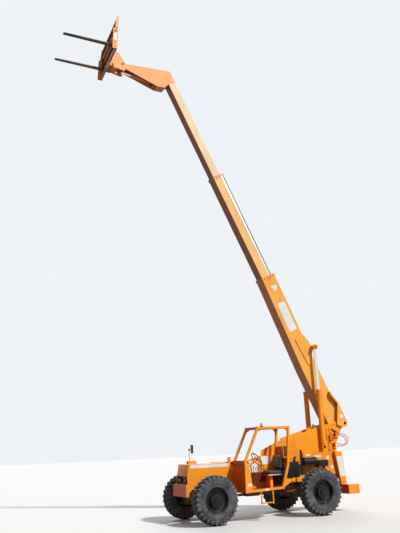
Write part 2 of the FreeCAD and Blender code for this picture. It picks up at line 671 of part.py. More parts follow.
def coupler():
    """Two cheeks outside the nose, joined by the bars at their top and at the carriage pin."""
    hull = [(5310, 14010), (5345, 14130), (5540, 14440), (5620, 14440), (5785, 13975), (5785, 13905),
            (5740, 13885), (5390, 13800), (5325, 13810)]
    cheeks = both_sides(profile(hull, CHEEK_IN, CHEEK_IN + CHEEK_T))
    bars = [across(TILT_TOP_X, TILT_TOP_Z, SMALL_PIN_R, -CHEEK_IN, CHEEK_IN),
            across(5585, 14420, 16, -CHEEK_IN, CHEEK_IN),
            across(CARRIAGE_PIN_X, CARRIAGE_PIN_Z, HEAD_PIN_R, -CARRIAGE_EAR_OUT, CARRIAGE_EAR_OUT)]
    bosses = both_sides(across(LEVEL_EYE_X, LEVEL_EYE_Z, 38, LEVEL_PIN_HALF + EYE_GAP, CHEEK_IN))
    body = fuse(cheeks + bars + bosses)
    return body.cut(across(HEAD_X, HEAD_Z, HEAD_PIN_R + PIN_GAP, -400, 400))


def carriage():
    """The fork frame, drawn from its foot, then leaned back."""
    half, high, deep = CARRIAGE_HALF, CARRIAGE_H, CARRIAGE_DEPTH
    ends = both_sides(box(0, deep, half - 30, half, 0, 740))
    low_rail = box(0, 60, -half, half, 0, 120)
    mid_rail = box(0, 50, -half, half, 420, 500)
    shaft = across(deep / 2, SHAFT_UP, SHAFT_R, -half, half)
    guard = [box(0, 40, -half, half, high - 60, high)]
    for i in range(GUARD_BARS):
        y = -half + 20 + i * (2 * half - 40) / (GUARD_BARS - 1)
        guard.append(box(2, 20, y - 18, y + 18, 100, high - 40))
    frame = on_carriage(fuse(ends + [low_rail, mid_rail, shaft] + guard))
    x, z = CARRIAGE_PIN_X, CARRIAGE_PIN_Z
    ear = profile([(x + 90, z + 190), (x + 90, z - 50), (x, z - 60), (x - 55, z - 40), (x - 55, z + 40),
                   (x + 20, z + 190)], CARRIAGE_EAR_IN, CARRIAGE_EAR_OUT - 10)
    arm = profile([(x + 90, z + 100), (x + 90, z - 50), (x, z - 70), (TILT_EYE_X + 20, TILT_EYE_Z - 40),
                   (TILT_EYE_X - 40, TILT_EYE_Z - 30), (TILT_EYE_X - 40, TILT_EYE_Z + 30),
                   (x - 50, z + 20), (x - 20, z + 60)], 32, 52)
    link = box(x + 60, x + 110, -CARRIAGE_EAR_OUT + 10, CARRIAGE_EAR_OUT - 10, z - 50, z + 110)
    eye_pin = across(TILT_EYE_X, TILT_EYE_Z, SMALL_PIN_R, -52, 52)
    body = fuse([frame, link, eye_pin] + both_sides(ear) + both_sides(arm))
    return body.cut(across(x, z, HEAD_PIN_R + PIN_GAP, -400, 400))


def fork(side):
    """One fork hung on the shaft, drawn from the carriage's foot."""
    y0, y1 = side * FORK_Y - FORK_W / 2, side * FORK_Y + FORK_W / 2
    face = CARRIAGE_DEPTH / 2 - FORK_T / 2
    heel = SHAFT_UP - FORK_DROP
    shank = [(face, heel), (face, SHAFT_UP + 60), (face + FORK_T, SHAFT_UP + 60),
             (face + FORK_T, heel + FORK_T), (FORK_FACE + FORK_LEN, heel + 14), (FORK_FACE + FORK_LEN, heel)]
    body = profile(shank, y0, y1)
    eye = across(CARRIAGE_DEPTH / 2, SHAFT_UP, SHAFT_R + 24, y0, y1)
    hole = across(CARRIAGE_DEPTH / 2, SHAFT_UP, SHAFT_R + PIN_GAP, y0, y1)
    return on_carriage(fuse([body, eye]).cut(hole))


# Cab
def cab_frame():
    tubes = []
    h = TUBE / 2
    for y in (CAB_IN + h, CAB_OUT - h):
        path = [FRONT_LOW, A_FOOT, A_TOP, B_TOP, B_KNEE, REAR_LOW]
        for (x0, z0), (x1, z1) in zip(path, path[1:] + path[:1]):
            tubes.append(square_tube((x0, y, z0), (x1, y, z1), TUBE))
    for x, z in (A_FOOT, A_TOP, B_TOP, B_KNEE, FRONT_LOW, REAR_LOW):
        tubes.append(box(x - h, x + h, CAB_IN, CAB_OUT, z - h, z + h))
    return fuse(tubes)


def knee_x(z):
    """The middle of the slanted rear tube at a height."""
    return B_KNEE[0] + (B_KNEE[1] - z) * (REAR_LOW[0] - B_KNEE[0]) / (B_KNEE[1] - REAR_LOW[1])


def cab_panels():
    h, sheet = TUBE / 2, CAB_SHEET
    front_x = FRONT_LOW[0] - 3
    floor = box(REAR_LOW[0] + h, FRONT_LOW[0] - h, CAB_IN + TUBE, CAB_OUT - TUBE, CAB_FLOOR_Z, CAB_FLOOR_Z + 14)
    front = box(front_x - sheet, front_x, CAB_IN + TUBE, CAB_OUT - TUBE, FRONT_LOW[1] + h, A_FOOT[1] - h)
    wall = profile([(FRONT_LOW[0] - h, FRONT_LOW[1] + h), (A_FOOT[0] - h, A_FOOT[1]),
                    (STEER_HEAD[0] + 120, A_FOOT[1] + 20), (SEAT_X + 220, WALL_TOP_Z),
                    (B_KNEE[0] + 5, WALL_TOP_Z), (B_KNEE[0] + h, B_KNEE[1]),
                    (REAR_LOW[0] + 20, REAR_LOW[1] + h)],
                   CAB_IN + 20, CAB_IN + 20 + sheet)
    rear = profile([(B_KNEE[0] + 14, B_KNEE[1] - 40), (B_KNEE[0] + 26, B_KNEE[1] - 40),
                    (REAR_LOW[0] + sheet, REAR_LOW[1] + h), (REAR_LOW[0], REAR_LOW[1] + h)],
                   CAB_IN + TUBE, CAB_OUT - TUBE)
    tubes = cab_frame()
    return floor, front, wall.cut(tubes), rear.cut(tubes)


def grab_handle():
    """A bar with two arms in front of the left rear post."""
    y = CAB_OUT - TUBE / 2
    feet = [(B_TOP[0] + (B_TOP[1] - z) * (B_KNEE[0] - B_TOP[0]) / (B_TOP[1] - B_KNEE[1]), z) for z in HANDLE_Z]
    out = feet[0][0] + HANDLE_OUT
    shapes = [bar((x, y, z), (out, y, z), HANDLE_R) for x, z in feet]
    return shapes + [bar((out, y, HANDLE_Z[0] - HANDLE_R), (out, y, HANDLE_Z[1] + HANDLE_R), HANDLE_R)]


def roof_guard():
    bars = []
    for i in range(ROOF_BARS):
        x = B_TOP[0] + 60 + i * (A_TOP[0] - B_TOP[0] - 120) / (ROOF_BARS - 1)
        bars.append(box(x - 8, x + 8, CAB_IN + TUBE - 5, CAB_OUT - TUBE + 5, 2420, 2450))
    return bars + [box(B_TOP[0] + 20, A_TOP[0] - 20, SEAT_Y - 10, SEAT_Y + 10, 2424, 2446)]


def cab_step():
    y = CAB_OUT - 45
    legs = [box(x - 16, x + 16, y, y + 20, STEP_Z - 20, 800) for x in STEP_LEGS]
    return legs + [box(STEP_LEGS[0], STEP_LEGS[1], y - 60, y + 30, STEP_Z, STEP_Z + 25)]


def seat():
    """The pedestal with its rail plate, the cushion and the back."""
    foot, under = CAB_FLOOR_Z + 14, SEAT_TOP_Z - SEAT_THICK
    post_x = SEAT_X + 82
    base = fuse([box(post_x, post_x + PEDESTAL_X, SEAT_Y - 110, SEAT_Y + 110, foot, under - 20),
                 box(post_x - 70, post_x + PEDESTAL_X + 70, SEAT_Y - 140, SEAT_Y + 140, foot, foot + 12),
                 box(SEAT_X - 150, SEAT_X + 225, SEAT_Y - SEAT_HALF + 25, SEAT_Y + SEAT_HALF - 25,
                     under - 25, under)])
    cushion = soft_box(SEAT_X - 190, SEAT_X + 240, SEAT_Y - SEAT_HALF, SEAT_Y + SEAT_HALF,
                       under, SEAT_TOP_Z, 28, Vector(0, 1, 0))
    back = profile([(SEAT_X - 215, SEAT_TOP_Z + SEAT_GAP), (SEAT_X - 105, SEAT_TOP_Z + SEAT_GAP),
                    (SEAT_X - 150, SEAT_TOP_Z + 410), (SEAT_X - 240, SEAT_TOP_Z + 410)],
                   SEAT_Y - SEAT_HALF, SEAT_Y + SEAT_HALF)
    return base, cushion, back


def steering():
    """The column on its console, and the wheel at its head."""
    head, foot = Vector(STEER_HEAD[0], SEAT_Y, STEER_HEAD[1]), Vector(STEER_FOOT[0], SEAT_Y, STEER_FOOT[1])
    run = (head - foot).normalize()
    x, floor = FRONT_LOW[0] - 45, CAB_FLOOR_Z + 14
    console = profile([(x - 260, floor), (x, floor), (x, 1330), (x - 100, 1420), (x - 220, 1330)],
                      SEAT_Y - 140, SEAT_Y + 140)
    column = Part.makeCylinder(32, (head - foot).Length - 30, foot, run)
    section = [(WHEEL_RING_R + 14 * math.cos(a), 14 * math.sin(a))
               for a in (math.pi * k / 4 for k in range(8))]
    wheel = ring_solid(section, 32)
    wheel.Placement = FreeCAD.Placement(head, FreeCAD.Rotation(Vector(0, 1, 0), run))
    spokes = []
    for k in range(3):
        spoke = Part.makeCylinder(9, WHEEL_RING_R, head, Vector(0, 1, 0))
        spoke.rotate(head, run, 30 + 120 * k)
        spokes.append(spoke)
    boss = Part.makeCylinder(38, 50, head - run * 30, run)
    return fuse([console, column]), fuse([wheel, boss] + spokes)


def side_console():
    """A box hung on the cab's inner wall, with its lower corners cut off."""
    x0, x1, z0, z1 = SEAT_X + 55, SEAT_X + 565, 978, 1240
    wall = CAB_IN + 20 + CAB_SHEET + SEAT_GAP
    return profile([(x0, z1), (x0, z0 + 110), (x0 + 90, z0), (x1 - 60, z0), (x1, z0 + 90), (x1, z1)],
                   wall, SEAT_Y - SEAT_HALF - 5)


def engine_hood():
    """A sheet-metal cover with rounded top edges, louvres in its side and a grille in its front."""
    x0, x1, y0, y1, z0, z1 = HOOD
    t, along = HOOD_T, Vector(1, 0, 0)
    shell = soft_box(x0, x1, y0, y1 + 200, z0 - 200, z1, HOOD_R, along).common(box(x0, x1, y0, y1, z0, z1))
    room = soft_box(x0 + t, x1 - t, y0 + t, y1 + 200, z0 - 200, z1 - t, HOOD_R - t, along)
    shell = shell.cut(room)
    for i in range(LOUVRES):
        x = x0 + 0.3 * (x1 - x0) + i * 0.09 * (x1 - x0)
        shell = shell.cut(box(x, x + 50, y0 - 5, y0 + t + 5, z0 + 180, z1 - 180))
        y = y0 + 90 + i * (y1 - y0 - 180) / LOUVRES
        shell = shell.cut(box(x1 - t - 5, x1 + 5, y, y + 45, z0 + 120, z1 - 150))
    return shell


def engine():
    x0, x1 = 0.32 * WHEELBASE, 0.62 * WHEELBASE
    block = box(x0, x1, -1000, -500, 930, 1450)
    feet = [box(x, x + 80, -500, -FRONT_HALF, 1000, 1060) for x in (x0 + 100, x1 - 180)]
    return fuse([block] + feet)


def driveline():
    x0, x1 = 0.44 * WHEELBASE, 0.56 * WHEELBASE
    case = box(x0, x1, -150, 150, 590, BELLY_Z)
    reach, z = DIFF_R + FLANGE_LEN + SEAT_GAP, TYRE_R
    shafts = [bar((reach, 0, z), (x0, 0, z), 36), bar((x1, 0, z), (WHEELBASE - reach, 0, z), 36)]
    return fuse([case] + shafts)


def side_deck():
    top_z = DECK_Z + DECK_T
    x0 = TYRE_R + WHEEL_ROOM
    lean = (REAR_LOW[0] - B_KNEE[0]) / (B_KNEE[1] - REAR_LOW[1])
    x1 = knee_x(top_z) - TUBE / 2 * math.hypot(1, lean) - SEAT_GAP
    top = box(x0, x1, FRONT_HALF, DECK_OUT, DECK_Z, top_z)
    skirt = profile([(x1, DECK_Z), (x0 + 50, DECK_Z), (x1, DECK_Z - 210)], DECK_OUT - DECK_T, DECK_OUT)
    return fuse([top, skirt])


def filler(x, y, z):
    """A tank's neck and cap."""
    up = Vector(0, 0, 1)
    neck = Part.makeCylinder(34, 30, Vector(x, y, z - 2), up)
    return [neck, Part.makeCylinder(46, 22, Vector(x, y, z + 26), up)]


def hydraulic_tank():
    body = soft_box(300, 800, FRONT_HALF, 600, 1045, 1480, TANK_R, Vector(0, 0, 1))
    return fuse([body] + filler(420, 500, 1480))


def air_cleaner():
    can = bar((-320, 515, 1460), (120, 515, 1460), 115)
    pad = box(-230, -150, BEAM_OUT, 430, 1430, 1490)
    neck = bar((120, 500, 1460), (165, 500, 1460), 40)
    pipe = bar((165, 500, 1100), (165, 500, 1790), 28)
    return fuse([can, pad, neck, pipe])


def battery_box():
    return box(-690, -345, BEAM_OUT, 620, 1300, 1480)


def fuel_tank():
    body = soft_box(-690, 10, -730, -BEAM_OUT, 1310, 1670, TANK_R, Vector(1, 0, 0))
    return fuse([body] + filler(-560, -560, 1670))


def lamps():
    x, y, z = WORK_LAMP
    work = fuse([bar((x - 30, y, z), (x + 30, y, z), 35), box(x - 30, x - 10, y - 8, y + 8, z - 85, z)])
    back = FRONT_END_X - RECESS_DEEP
    heads = both_sides(bar((back, 200, 1140), (back + 45, 200, 1140), 52))
    sides = both_sides(bar((-790, BEAM_OUT, 1400), (-790, BEAM_OUT + 40, 1400), 45))
    return Part.makeCompound([work] + heads + sides)


def beacon():
    x, y, z = A_TOP[0] - 131, CAB_OUT - TUBE / 2, A_TOP[1] + TUBE / 2
    base = bar((x, y, z), (x, y, z + 22), 36)
    return fuse([base, bar((x, y, z), (x, y, z + 95), 31)])


def mirror():
    """The mirror's head beside its post, on an arm with a clamp."""
    x, y, z = MIRROR_X, MIRROR_Y, MIRROR_TOP_Z - 60
    clamp = bar((x, y, z - 25), (x, y, z + 25), 20).cut(bar((x, y, z - 30), (x, y, z + 30), 12))
    arm = bar((x - 15, y, z), (x - 80, y + 10, z + 15), 9)
    head = soft_box(x - 100, x - 72, y - 60, y + 80, 1850, 2090, 24, Vector(1, 0, 0))
    return fuse([clamp, arm, head])


def build():
    keep("rear_frame", rear_frame())
    keep("front_frame", fuse([front_frame(), front_bumper()]))
    keep("counterweight", fuse(both_sides(rear_leg()) + [bumper()]))
    keep("front_axle", axle(WHEELBASE, -1))
    keep("rear_axle", axle(0.0, 1))
    keep("driveline", driveline())
    tyre_one, rim_one, knuckle_one = tyre(), rim(), knuckle()
    for name, x, side in WHEEL_PLACES:
        keep("knuckle_" + name, place_side(at_y(knuckle_one, KINGPIN_Y), x, side))
        keep("tyre_" + name, place_side(at_y(tyre_one, TRACK / 2), x, side))
        keep("rim_" + name, place_side(at_y(rim_one, TRACK / 2), x, side))
    keep("boom_section_1", along_boom(section_1()))
    keep("boom_section_2", along_boom(section_2()))
    rod_bar, cable = extend_rod()
    keep("extend_rod", along_boom(rod_bar))
    keep("extend_cable", along_boom(cable))
    keep("boom_section_3", along_boom(section_3()))
    keep("gooseneck", gooseneck())
    base, eye = (LIFT_BASE_X, LIFT_BASE_Z), (LIFT_EYE_X, LIFT_EYE_Z)
    barrels = both_sides(barrel(base, eye, LIFT_Y, LIFT_BARREL_R, LIFT_BARREL_LEN, LIFT_ROD_R + BORE_GAP,
                                LIFT_EYE_W, LIFT_PIN_R))
    one = rod(base, eye, LIFT_Y, LIFT_ROD_R, LIFT_ROD_LEN, LIFT_EYE_R, LIFT_EYE_W)
    rods = both_sides(fuse([one, across(*eye, LIFT_PIN_R, LIFT_Y, LIFT_Y + LIFT_EYE_W / 2 + 14)]))
    keep("lift_barrels", Part.makeCompound(barrels))
    keep("lift_rods", Part.makeCompound(rods))
    base, eye = (LEVEL_BASE_X, LEVEL_BASE_Z), (LEVEL_EYE_X, LEVEL_EYE_Z)
    keep("level_barrel", barrel(base, eye, 0, LEVEL_BARREL_R, LEVEL_BARREL_LEN, LEVEL_ROD_R + BORE_GAP,
                                60, SMALL_PIN_R))
    one = rod(base, eye, 0, LEVEL_ROD_R, LEVEL_ROD_LEN, 42, 60)
    keep("level_rod", fuse([one, across(*eye, SMALL_PIN_R, -LEVEL_PIN_HALF, LEVEL_PIN_HALF)]))
    base, eye = (TILT_TOP_X, TILT_TOP_Z), (TILT_EYE_X, TILT_EYE_Z)
    keep("tilt_barrel", barrel(base, eye, 0, TILT_BARREL_R, TILT_BARREL_LEN, TILT_ROD_R + BORE_GAP,
                               56, SMALL_PIN_R))
    one = rod(base, eye, 0, TILT_ROD_R, TILT_ROD_LEN, 40, 56)
    keep("tilt_rod", one.cut(across(*eye, SMALL_PIN_R + TILT_EYE_SLACK, -50, 50)))
    keep("coupler", coupler())
    keep("carriage", carriage())
    keep("forks", Part.makeCompound([fork(1), fork(-1)]))
    keep("cab_frame", fuse([cab_frame()] + roof_guard() + cab_step() + grab_handle()))
    keep("cab_panels", Part.makeCompound(list(cab_panels())))
    base, cushion, back = seat()
    keep("seat_base", base)
    keep("seat_cushion", cushion)
    keep("seat_back", back)
    column, wheel = steering()
    keep("steering_column", column)
    keep("steering_wheel", wheel)
    keep("side_console", side_console())
    keep("engine_hood", engine_hood())
    keep("engine", engine())
    keep("side_deck", side_deck())
    keep("hydraulic_tank", hydraulic_tank())
    keep("air_cleaner", air_cleaner())
    keep("battery_box", battery_box())
    keep("fuel_tank", fuel_tank())
    keep("lamps", lamps())
    keep("beacon", beacon())
    keep("mirror", mirror())
    for i, route in enumerate(HOSES):
        keep("tower_hose_%d" % (i + 1), hose(route))


build()
os.makedirs("parts", exist_ok=True)
for name, shape in SOLIDS.items():
    shape.exportStep("parts/" + name + ".step")
    print(name, shape.isValid(), len(shape.Solids), round(shape.Volume / 1e9, 4))
whole = Part.makeCompound(list(SOLIDS.values())).BoundBox
print("box", [round(v, 1) for v in (whole.XMin, whole.XMax, whole.YMin, whole.YMax, whole.ZMin, whole.ZMax)])
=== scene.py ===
import json
import math

import bmesh
import bpy
from bpy.props import FloatProperty, FloatVectorProperty, IntProperty, PointerProperty
from bpy.types import Operator, Panel, PropertyGroup
from mathutils import Matrix, Vector


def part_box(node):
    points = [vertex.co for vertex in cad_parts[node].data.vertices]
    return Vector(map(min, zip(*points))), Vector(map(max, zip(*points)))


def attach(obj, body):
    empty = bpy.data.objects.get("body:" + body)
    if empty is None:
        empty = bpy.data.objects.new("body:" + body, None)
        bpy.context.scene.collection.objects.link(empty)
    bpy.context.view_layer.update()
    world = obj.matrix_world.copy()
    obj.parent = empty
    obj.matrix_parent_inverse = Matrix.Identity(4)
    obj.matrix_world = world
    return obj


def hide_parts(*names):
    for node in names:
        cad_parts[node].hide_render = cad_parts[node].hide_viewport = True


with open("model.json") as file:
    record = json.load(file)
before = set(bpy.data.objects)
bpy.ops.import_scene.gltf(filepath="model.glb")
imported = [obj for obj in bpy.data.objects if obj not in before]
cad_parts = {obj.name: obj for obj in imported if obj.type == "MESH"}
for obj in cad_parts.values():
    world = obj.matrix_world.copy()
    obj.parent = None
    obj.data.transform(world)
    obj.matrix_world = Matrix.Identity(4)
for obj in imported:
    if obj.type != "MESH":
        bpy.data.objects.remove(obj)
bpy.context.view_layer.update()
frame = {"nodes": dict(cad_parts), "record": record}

bl_info = {
    "name": "Telehandler",
    "version": (1, 0, 0),
    "blender": (4, 5, 0),
    "location": "3D View > Sidebar > Telehandler",
    "description": "Dresses the packed telehandler with tyres, plates, seat, lamps and finishes",
    "category": "Object",
}

# Places are in metres. Machine places are measured forward from the rear axle.
WHEELS = ("front_left", "front_right", "rear_left", "rear_right")
AHEAD, LEFT, UP, DOWN, SIDES = (1, 0, 0), (0, 1, 0), (0, 0, 1), (0, 0, -1), (1, -1)


def middle(node):
    low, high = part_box(node)
    return (low + high) / 2


REAR_AXLE_X = middle("rim_rear_left").x
TYRE_LOW, TYRE_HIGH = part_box("tyre_rear_left")
TYRE_R = (TYRE_HIGH.z - TYRE_LOW.z) / 2
LIP_R = (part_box("rim_rear_left")[1].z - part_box("rim_rear_left")[0].z) / 2

# The photograph's camera: metres and degrees, measured from the rear axle
CAMERA_AT = (10.5565, 17.5376, 1.9733)
CAMERA_YAW, CAMERA_PITCH, CAMERA_ROLL = 23.5023, 15.9517, -2.6783
CAMERA_FOCUS_PX = 636.41
IMAGE_LONG_PX = 533.0
SENSOR_MM = 36.0

# The boom's own plane: s along it from the pivot, n square to it
PIVOT = Vector((-1.630, 0.0, 2.545))
BOOM_ANGLE = math.radians(65.3)
CARRIAGE_FOOT = (5.800, 14.020)
CARRIAGE_LEAN = math.radians(3.0)
NECK_DOWN = Vector((0.397, 0.0, -0.918))


def at(x, y, z):
    """A point measured from the rear axle, in the row frame."""
    return Vector((x + REAR_AXLE_X, y, z))


def on_boom(s, n, y):
    c, d = math.cos(BOOM_ANGLE), math.sin(BOOM_ANGLE)
    return at(PIVOT.x + s * c - n * d, y, PIVOT.z + s * d + n * c)


BOOM_RUN = Vector((math.cos(BOOM_ANGLE), 0, math.sin(BOOM_ANGLE)))
BOOM_UP = Vector((-math.sin(BOOM_ANGLE), 0, math.cos(BOOM_ANGLE)))


def on_carriage(ahead, up, y):
    """A point of the leaning fork carriage, ahead of its rear plane and up from its foot."""
    c, d = math.cos(CARRIAGE_LEAN), math.sin(CARRIAGE_LEAN)
    return at(CARRIAGE_FOOT[0] + ahead * c - up * d, y, CARRIAGE_FOOT[1] + ahead * d + up * c)


# Faces that plates and bolts lie on, measured sideways from the machine's middle
BOOM_HALF, EAR_Y, TOWER_Y, BEAM_Y, FRONT_Y, LEG_Y = 0.205, 0.335, 0.275, 0.385, 0.400, 0.500
CAB_WALL_Y, CAB_OUT_Y, HEAD_HALF = 0.494, 1.215, 0.950

# Outlines of blank plates: on the boom (along, square to it), on the machine's sides (x, z)
BOOM_PLATE = [(3.28, -0.29), (4.27, -0.255), (4.25, 0.030), (3.29, 0.012)]
BOOM_TRIANGLE = [(4.887, -0.200), (4.817, 0.055), (4.632, -0.115)]
FRONT_BAND = [(2.520, 1.455), (3.690, 1.455), (3.672, 1.545), (2.520, 1.537)]
LEG_PLATE = [(-1.150, 0.985), (-1.330, 0.985), (-1.268, 1.560), (-1.080, 1.560)]
BEAM_PLATES = [
    [(-0.060, 1.610), (-0.220, 1.606), (-0.220, 1.666), (-0.060, 1.668)],
    [(-0.360, 1.566), (-0.600, 1.560), (-0.600, 1.622), (-0.360, 1.626)],
    [(-0.800, 1.480), (-0.890, 1.480), (-0.890, 1.590), (-0.800, 1.590)],
    [(-0.930, 1.215), (-1.010, 1.215), (-1.010, 1.310), (-0.930, 1.310)],
]
CAB_PLATES = [
    [(1.224, 1.460), (1.514, 1.460), (1.514, 1.682), (1.224, 1.682)],
    [(1.630, 1.255), (1.938, 1.255), (1.938, 1.560), (1.630, 1.560)],
]
CONSOLE_BAND = [(2.095, 0.905), (2.325, 0.905), (2.325, 0.985), (2.095, 0.985)]
RAIL_PLATE = [(1.713, 0.788), (1.824, 0.783), (1.824, 0.832), (1.713, 0.837)]
EAR_DISC, EAR_DISC_R = (-1.530, 2.752), 0.055
HEAD_PLATE = [(0.034, 0.310), (0.116, 0.310), (0.116, 0.530), (0.034, 0.530)]
SHAFT_UP = 0.640
CAB_BULKHEAD = ((1.036, 1.460), (0.986, 1.930))
# ends of the black sheet of painted shade under the seat
CAB_SHADE_SHEET = ((1.252, 0.8733), (1.07, 1.3677))
CAB_GUSSETS = [[(1.910, 2.425), (1.800, 2.425), (1.955, 2.325)],
               [(0.955, 2.425), (1.070, 2.425), (0.970, 2.320)]]

# Pipes, clips and bolts on the tower's and frame's faces (x, z)
TOWER_PIPES = [
    [(-1.214, 2.238), (-1.130, 2.238), (-1.060, 2.300), (-1.060, 2.430), (-1.140, 2.500), (-1.380, 2.555)],
    [(-1.214, 2.180), (-1.110, 2.180), (-0.990, 2.080), (-0.990, 1.722)],
    [(-1.214, 1.930), (-1.120, 1.930), (-0.950, 2.080), (-0.950, 2.400), (-0.900, 2.450)],
    [(-1.214, 1.860), (-1.100, 1.860), (-1.030, 1.800), (-1.030, 1.722)],
]
TOWER_LINES = [((-1.120, 2.400), (-1.370, 2.255)), ((-1.150, 2.350), (-1.360, 2.205))]
TOWER_VALVE = ((-1.130, 2.050), (-1.020, 2.200))
TOWER_CLIPS = [(-0.970, 2.240), (-1.010, 1.790), (-1.060, 2.370), (-0.900, 2.430)]
TOWER_BOLTS = [(0.380, 1.550), (0.360, 1.750), (0.340, 1.950)]
FRAME_BOLTS = [(3.020, 0.960), (3.160, 0.960), (3.440, 0.960), (3.580, 0.960)]
LEG_BOLTS = [(-1.240, 0.820), (-1.310, 0.820)]

# The hoses' radius, and the two hose loops from the upper fitting to the lower one
HOSE_R = 0.013
HOSE_ROUTES = (
    ((-1.290, 0.318, 2.238), (-1.430, 0.318, 2.238), (-1.570, 0.330, 2.200), (-1.672, 0.338, 2.110),
     (-1.695, 0.334, 1.990), (-1.620, 0.326, 1.905), (-1.490, 0.318, 1.888), (-1.350, 0.316, 1.930),
     (-1.225, 0.316, 1.930)),
    ((-1.290, 0.358, 2.180), (-1.410, 0.358, 2.180), (-1.520, 0.368, 2.125), (-1.590, 0.370, 2.020),
     (-1.560, 0.366, 1.915), (-1.465, 0.360, 1.852), (-1.345, 0.354, 1.860), (-1.225, 0.354, 1.860)),
)


def colour_property(name, description, default):
    return FloatVectorProperty(name=name, description=description, subtype="COLOR", size=3, min=0, max=1,
                               default=default)


class TelehandlerColours(PropertyGroup):
    orange: colour_property("Orange", "Paint of the frame and cab", (0.90, 0.31, 0.014))
    boom: colour_property("Boom orange", "Paint of the boom's outer section", (0.89, 0.41, 0.075))
    neck: colour_property("Head orange", "Paint of the gooseneck, coupler and carriage", (0.86, 0.36, 0.105))
    faded: colour_property("Faded orange", "Faded paint of the boom's middle section", (0.87, 0.49, 0.185))
    bleached: colour_property("Bleached orange", "Paint of the boom's tip section", (0.86, 0.61, 0.38))
    gear: colour_property("Running gear", "Dusty paint of axles and shafts", (0.16, 0.065, 0.025))
    rubber: colour_property("Rubber", "Tyre rubber", (0.027, 0.029, 0.032))
    black: colour_property("Black paint", "Rims, canister and boxes", (0.010, 0.010, 0.011))
    dust: colour_property("Dust", "Dust that lies on the machine", (0.36, 0.30, 0.23))
    white: colour_property("Plate white", "Blank plates and bands", (0.80, 0.80, 0.77))
    vinyl: colour_property("Seat vinyl", "Seat cover", (0.014, 0.014, 0.016))


def size_property(name, description, default):
    return FloatProperty(name=name, description=description, subtype="DISTANCE", unit="LENGTH",
                         default=default)


class TelehandlerSizes(PropertyGroup):
    lug_height: size_property("Lug height", "Height of a tyre lug over the carcass", 0.040)
    lug_lean: FloatProperty(
        name="Lug lean", description="Angle of a lug to the wheel's axle", subtype="ANGLE",
        unit="ROTATION", default=math.radians(38))
    lug_pairs: IntProperty(name="Lug pairs", description="Lugs on each half of a tread", default=28)
    wheel_nuts: IntProperty(name="Wheel nuts", description="Nuts on each hub", default=10)
    plate_thickness: size_property("Plate thickness", "Thickness of a blank plate or band", 0.0015)
    paint_round: FloatProperty(
        name="Edge round", description="Share of each node's own edge rounding that is used",
        min=0.0, max=1.0, default=1.0)


def colours():
    return bpy.context.scene.telehandler_colours


def sizes():
    return bpy.context.scene.telehandler_sizes


# Node tools
def feed(tree, node, values):
    """Sets a node's inputs to values, or links them to sockets."""
    for socket, value in values.items():
        if isinstance(value, bpy.types.NodeSocket):
            tree.links.new(value, node.inputs[socket])
        elif value is not None:
            node.inputs[socket].default_value = value


def add(tree, kind, inputs=None, **values):
    """A shader node with its attributes and inputs set."""
    node = tree.nodes.new(kind)
    for name, value in values.items():
        setattr(node, name, value)
    feed(tree, node, inputs or {})
    return node


def mix_colour(tree, factor, a, b):
    return add(tree, "ShaderNodeMix", {0: factor, 6: a, 7: b}, data_type="RGBA").outputs[2]


def sums(tree, operation, a, b=None, clamp=False):
    return add(tree, "ShaderNodeMath", {0: a, 1: b}, operation=operation, use_clamp=clamp).outputs[0]


def times(tree, a, b, clamp=False):
    return sums(tree, "MULTIPLY", a, b, clamp)


def ranged(tree, value, low, high, to_low=0.0, to_high=1.0):
    inputs = {"Value": value, "From Min": low, "From Max": high, "To Min": to_low, "To Max": to_high}
    return add(tree, "ShaderNodeMapRange", inputs, interpolation_type="SMOOTHSTEP").outputs["Result"]


def noise(tree, vector, scale, detail=4.0, roughness=0.55, stretch=(1, 1, 1)):
    place = add(tree, "ShaderNodeMapping", {"Vector": vector, "Scale": stretch}).outputs["Vector"]
    inputs = {"Vector": place, "Scale": scale, "Detail": detail, "Roughness": roughness}
    return add(tree, "ShaderNodeTexNoise", inputs).outputs["Fac"]


def coordinates(tree, kind="Object"):
    return add(tree, "ShaderNodeTexCoord").outputs[kind]


def split(tree, vector):
    return add(tree, "ShaderNodeSeparateXYZ", {0: vector}).outputs


def dot(tree, a, b):
    return add(tree, "ShaderNodeVectorMath", {0: a, 1: b}, operation="DOT_PRODUCT").outputs["Value"]


def bump(tree, height, strength, distance):
    inputs = {"Height": height, "Strength": strength, "Distance": distance}
    return add(tree, "ShaderNodeBump", inputs).outputs[0]


EDGE_R, DUST_HEIGHT = 0.008, 1.2


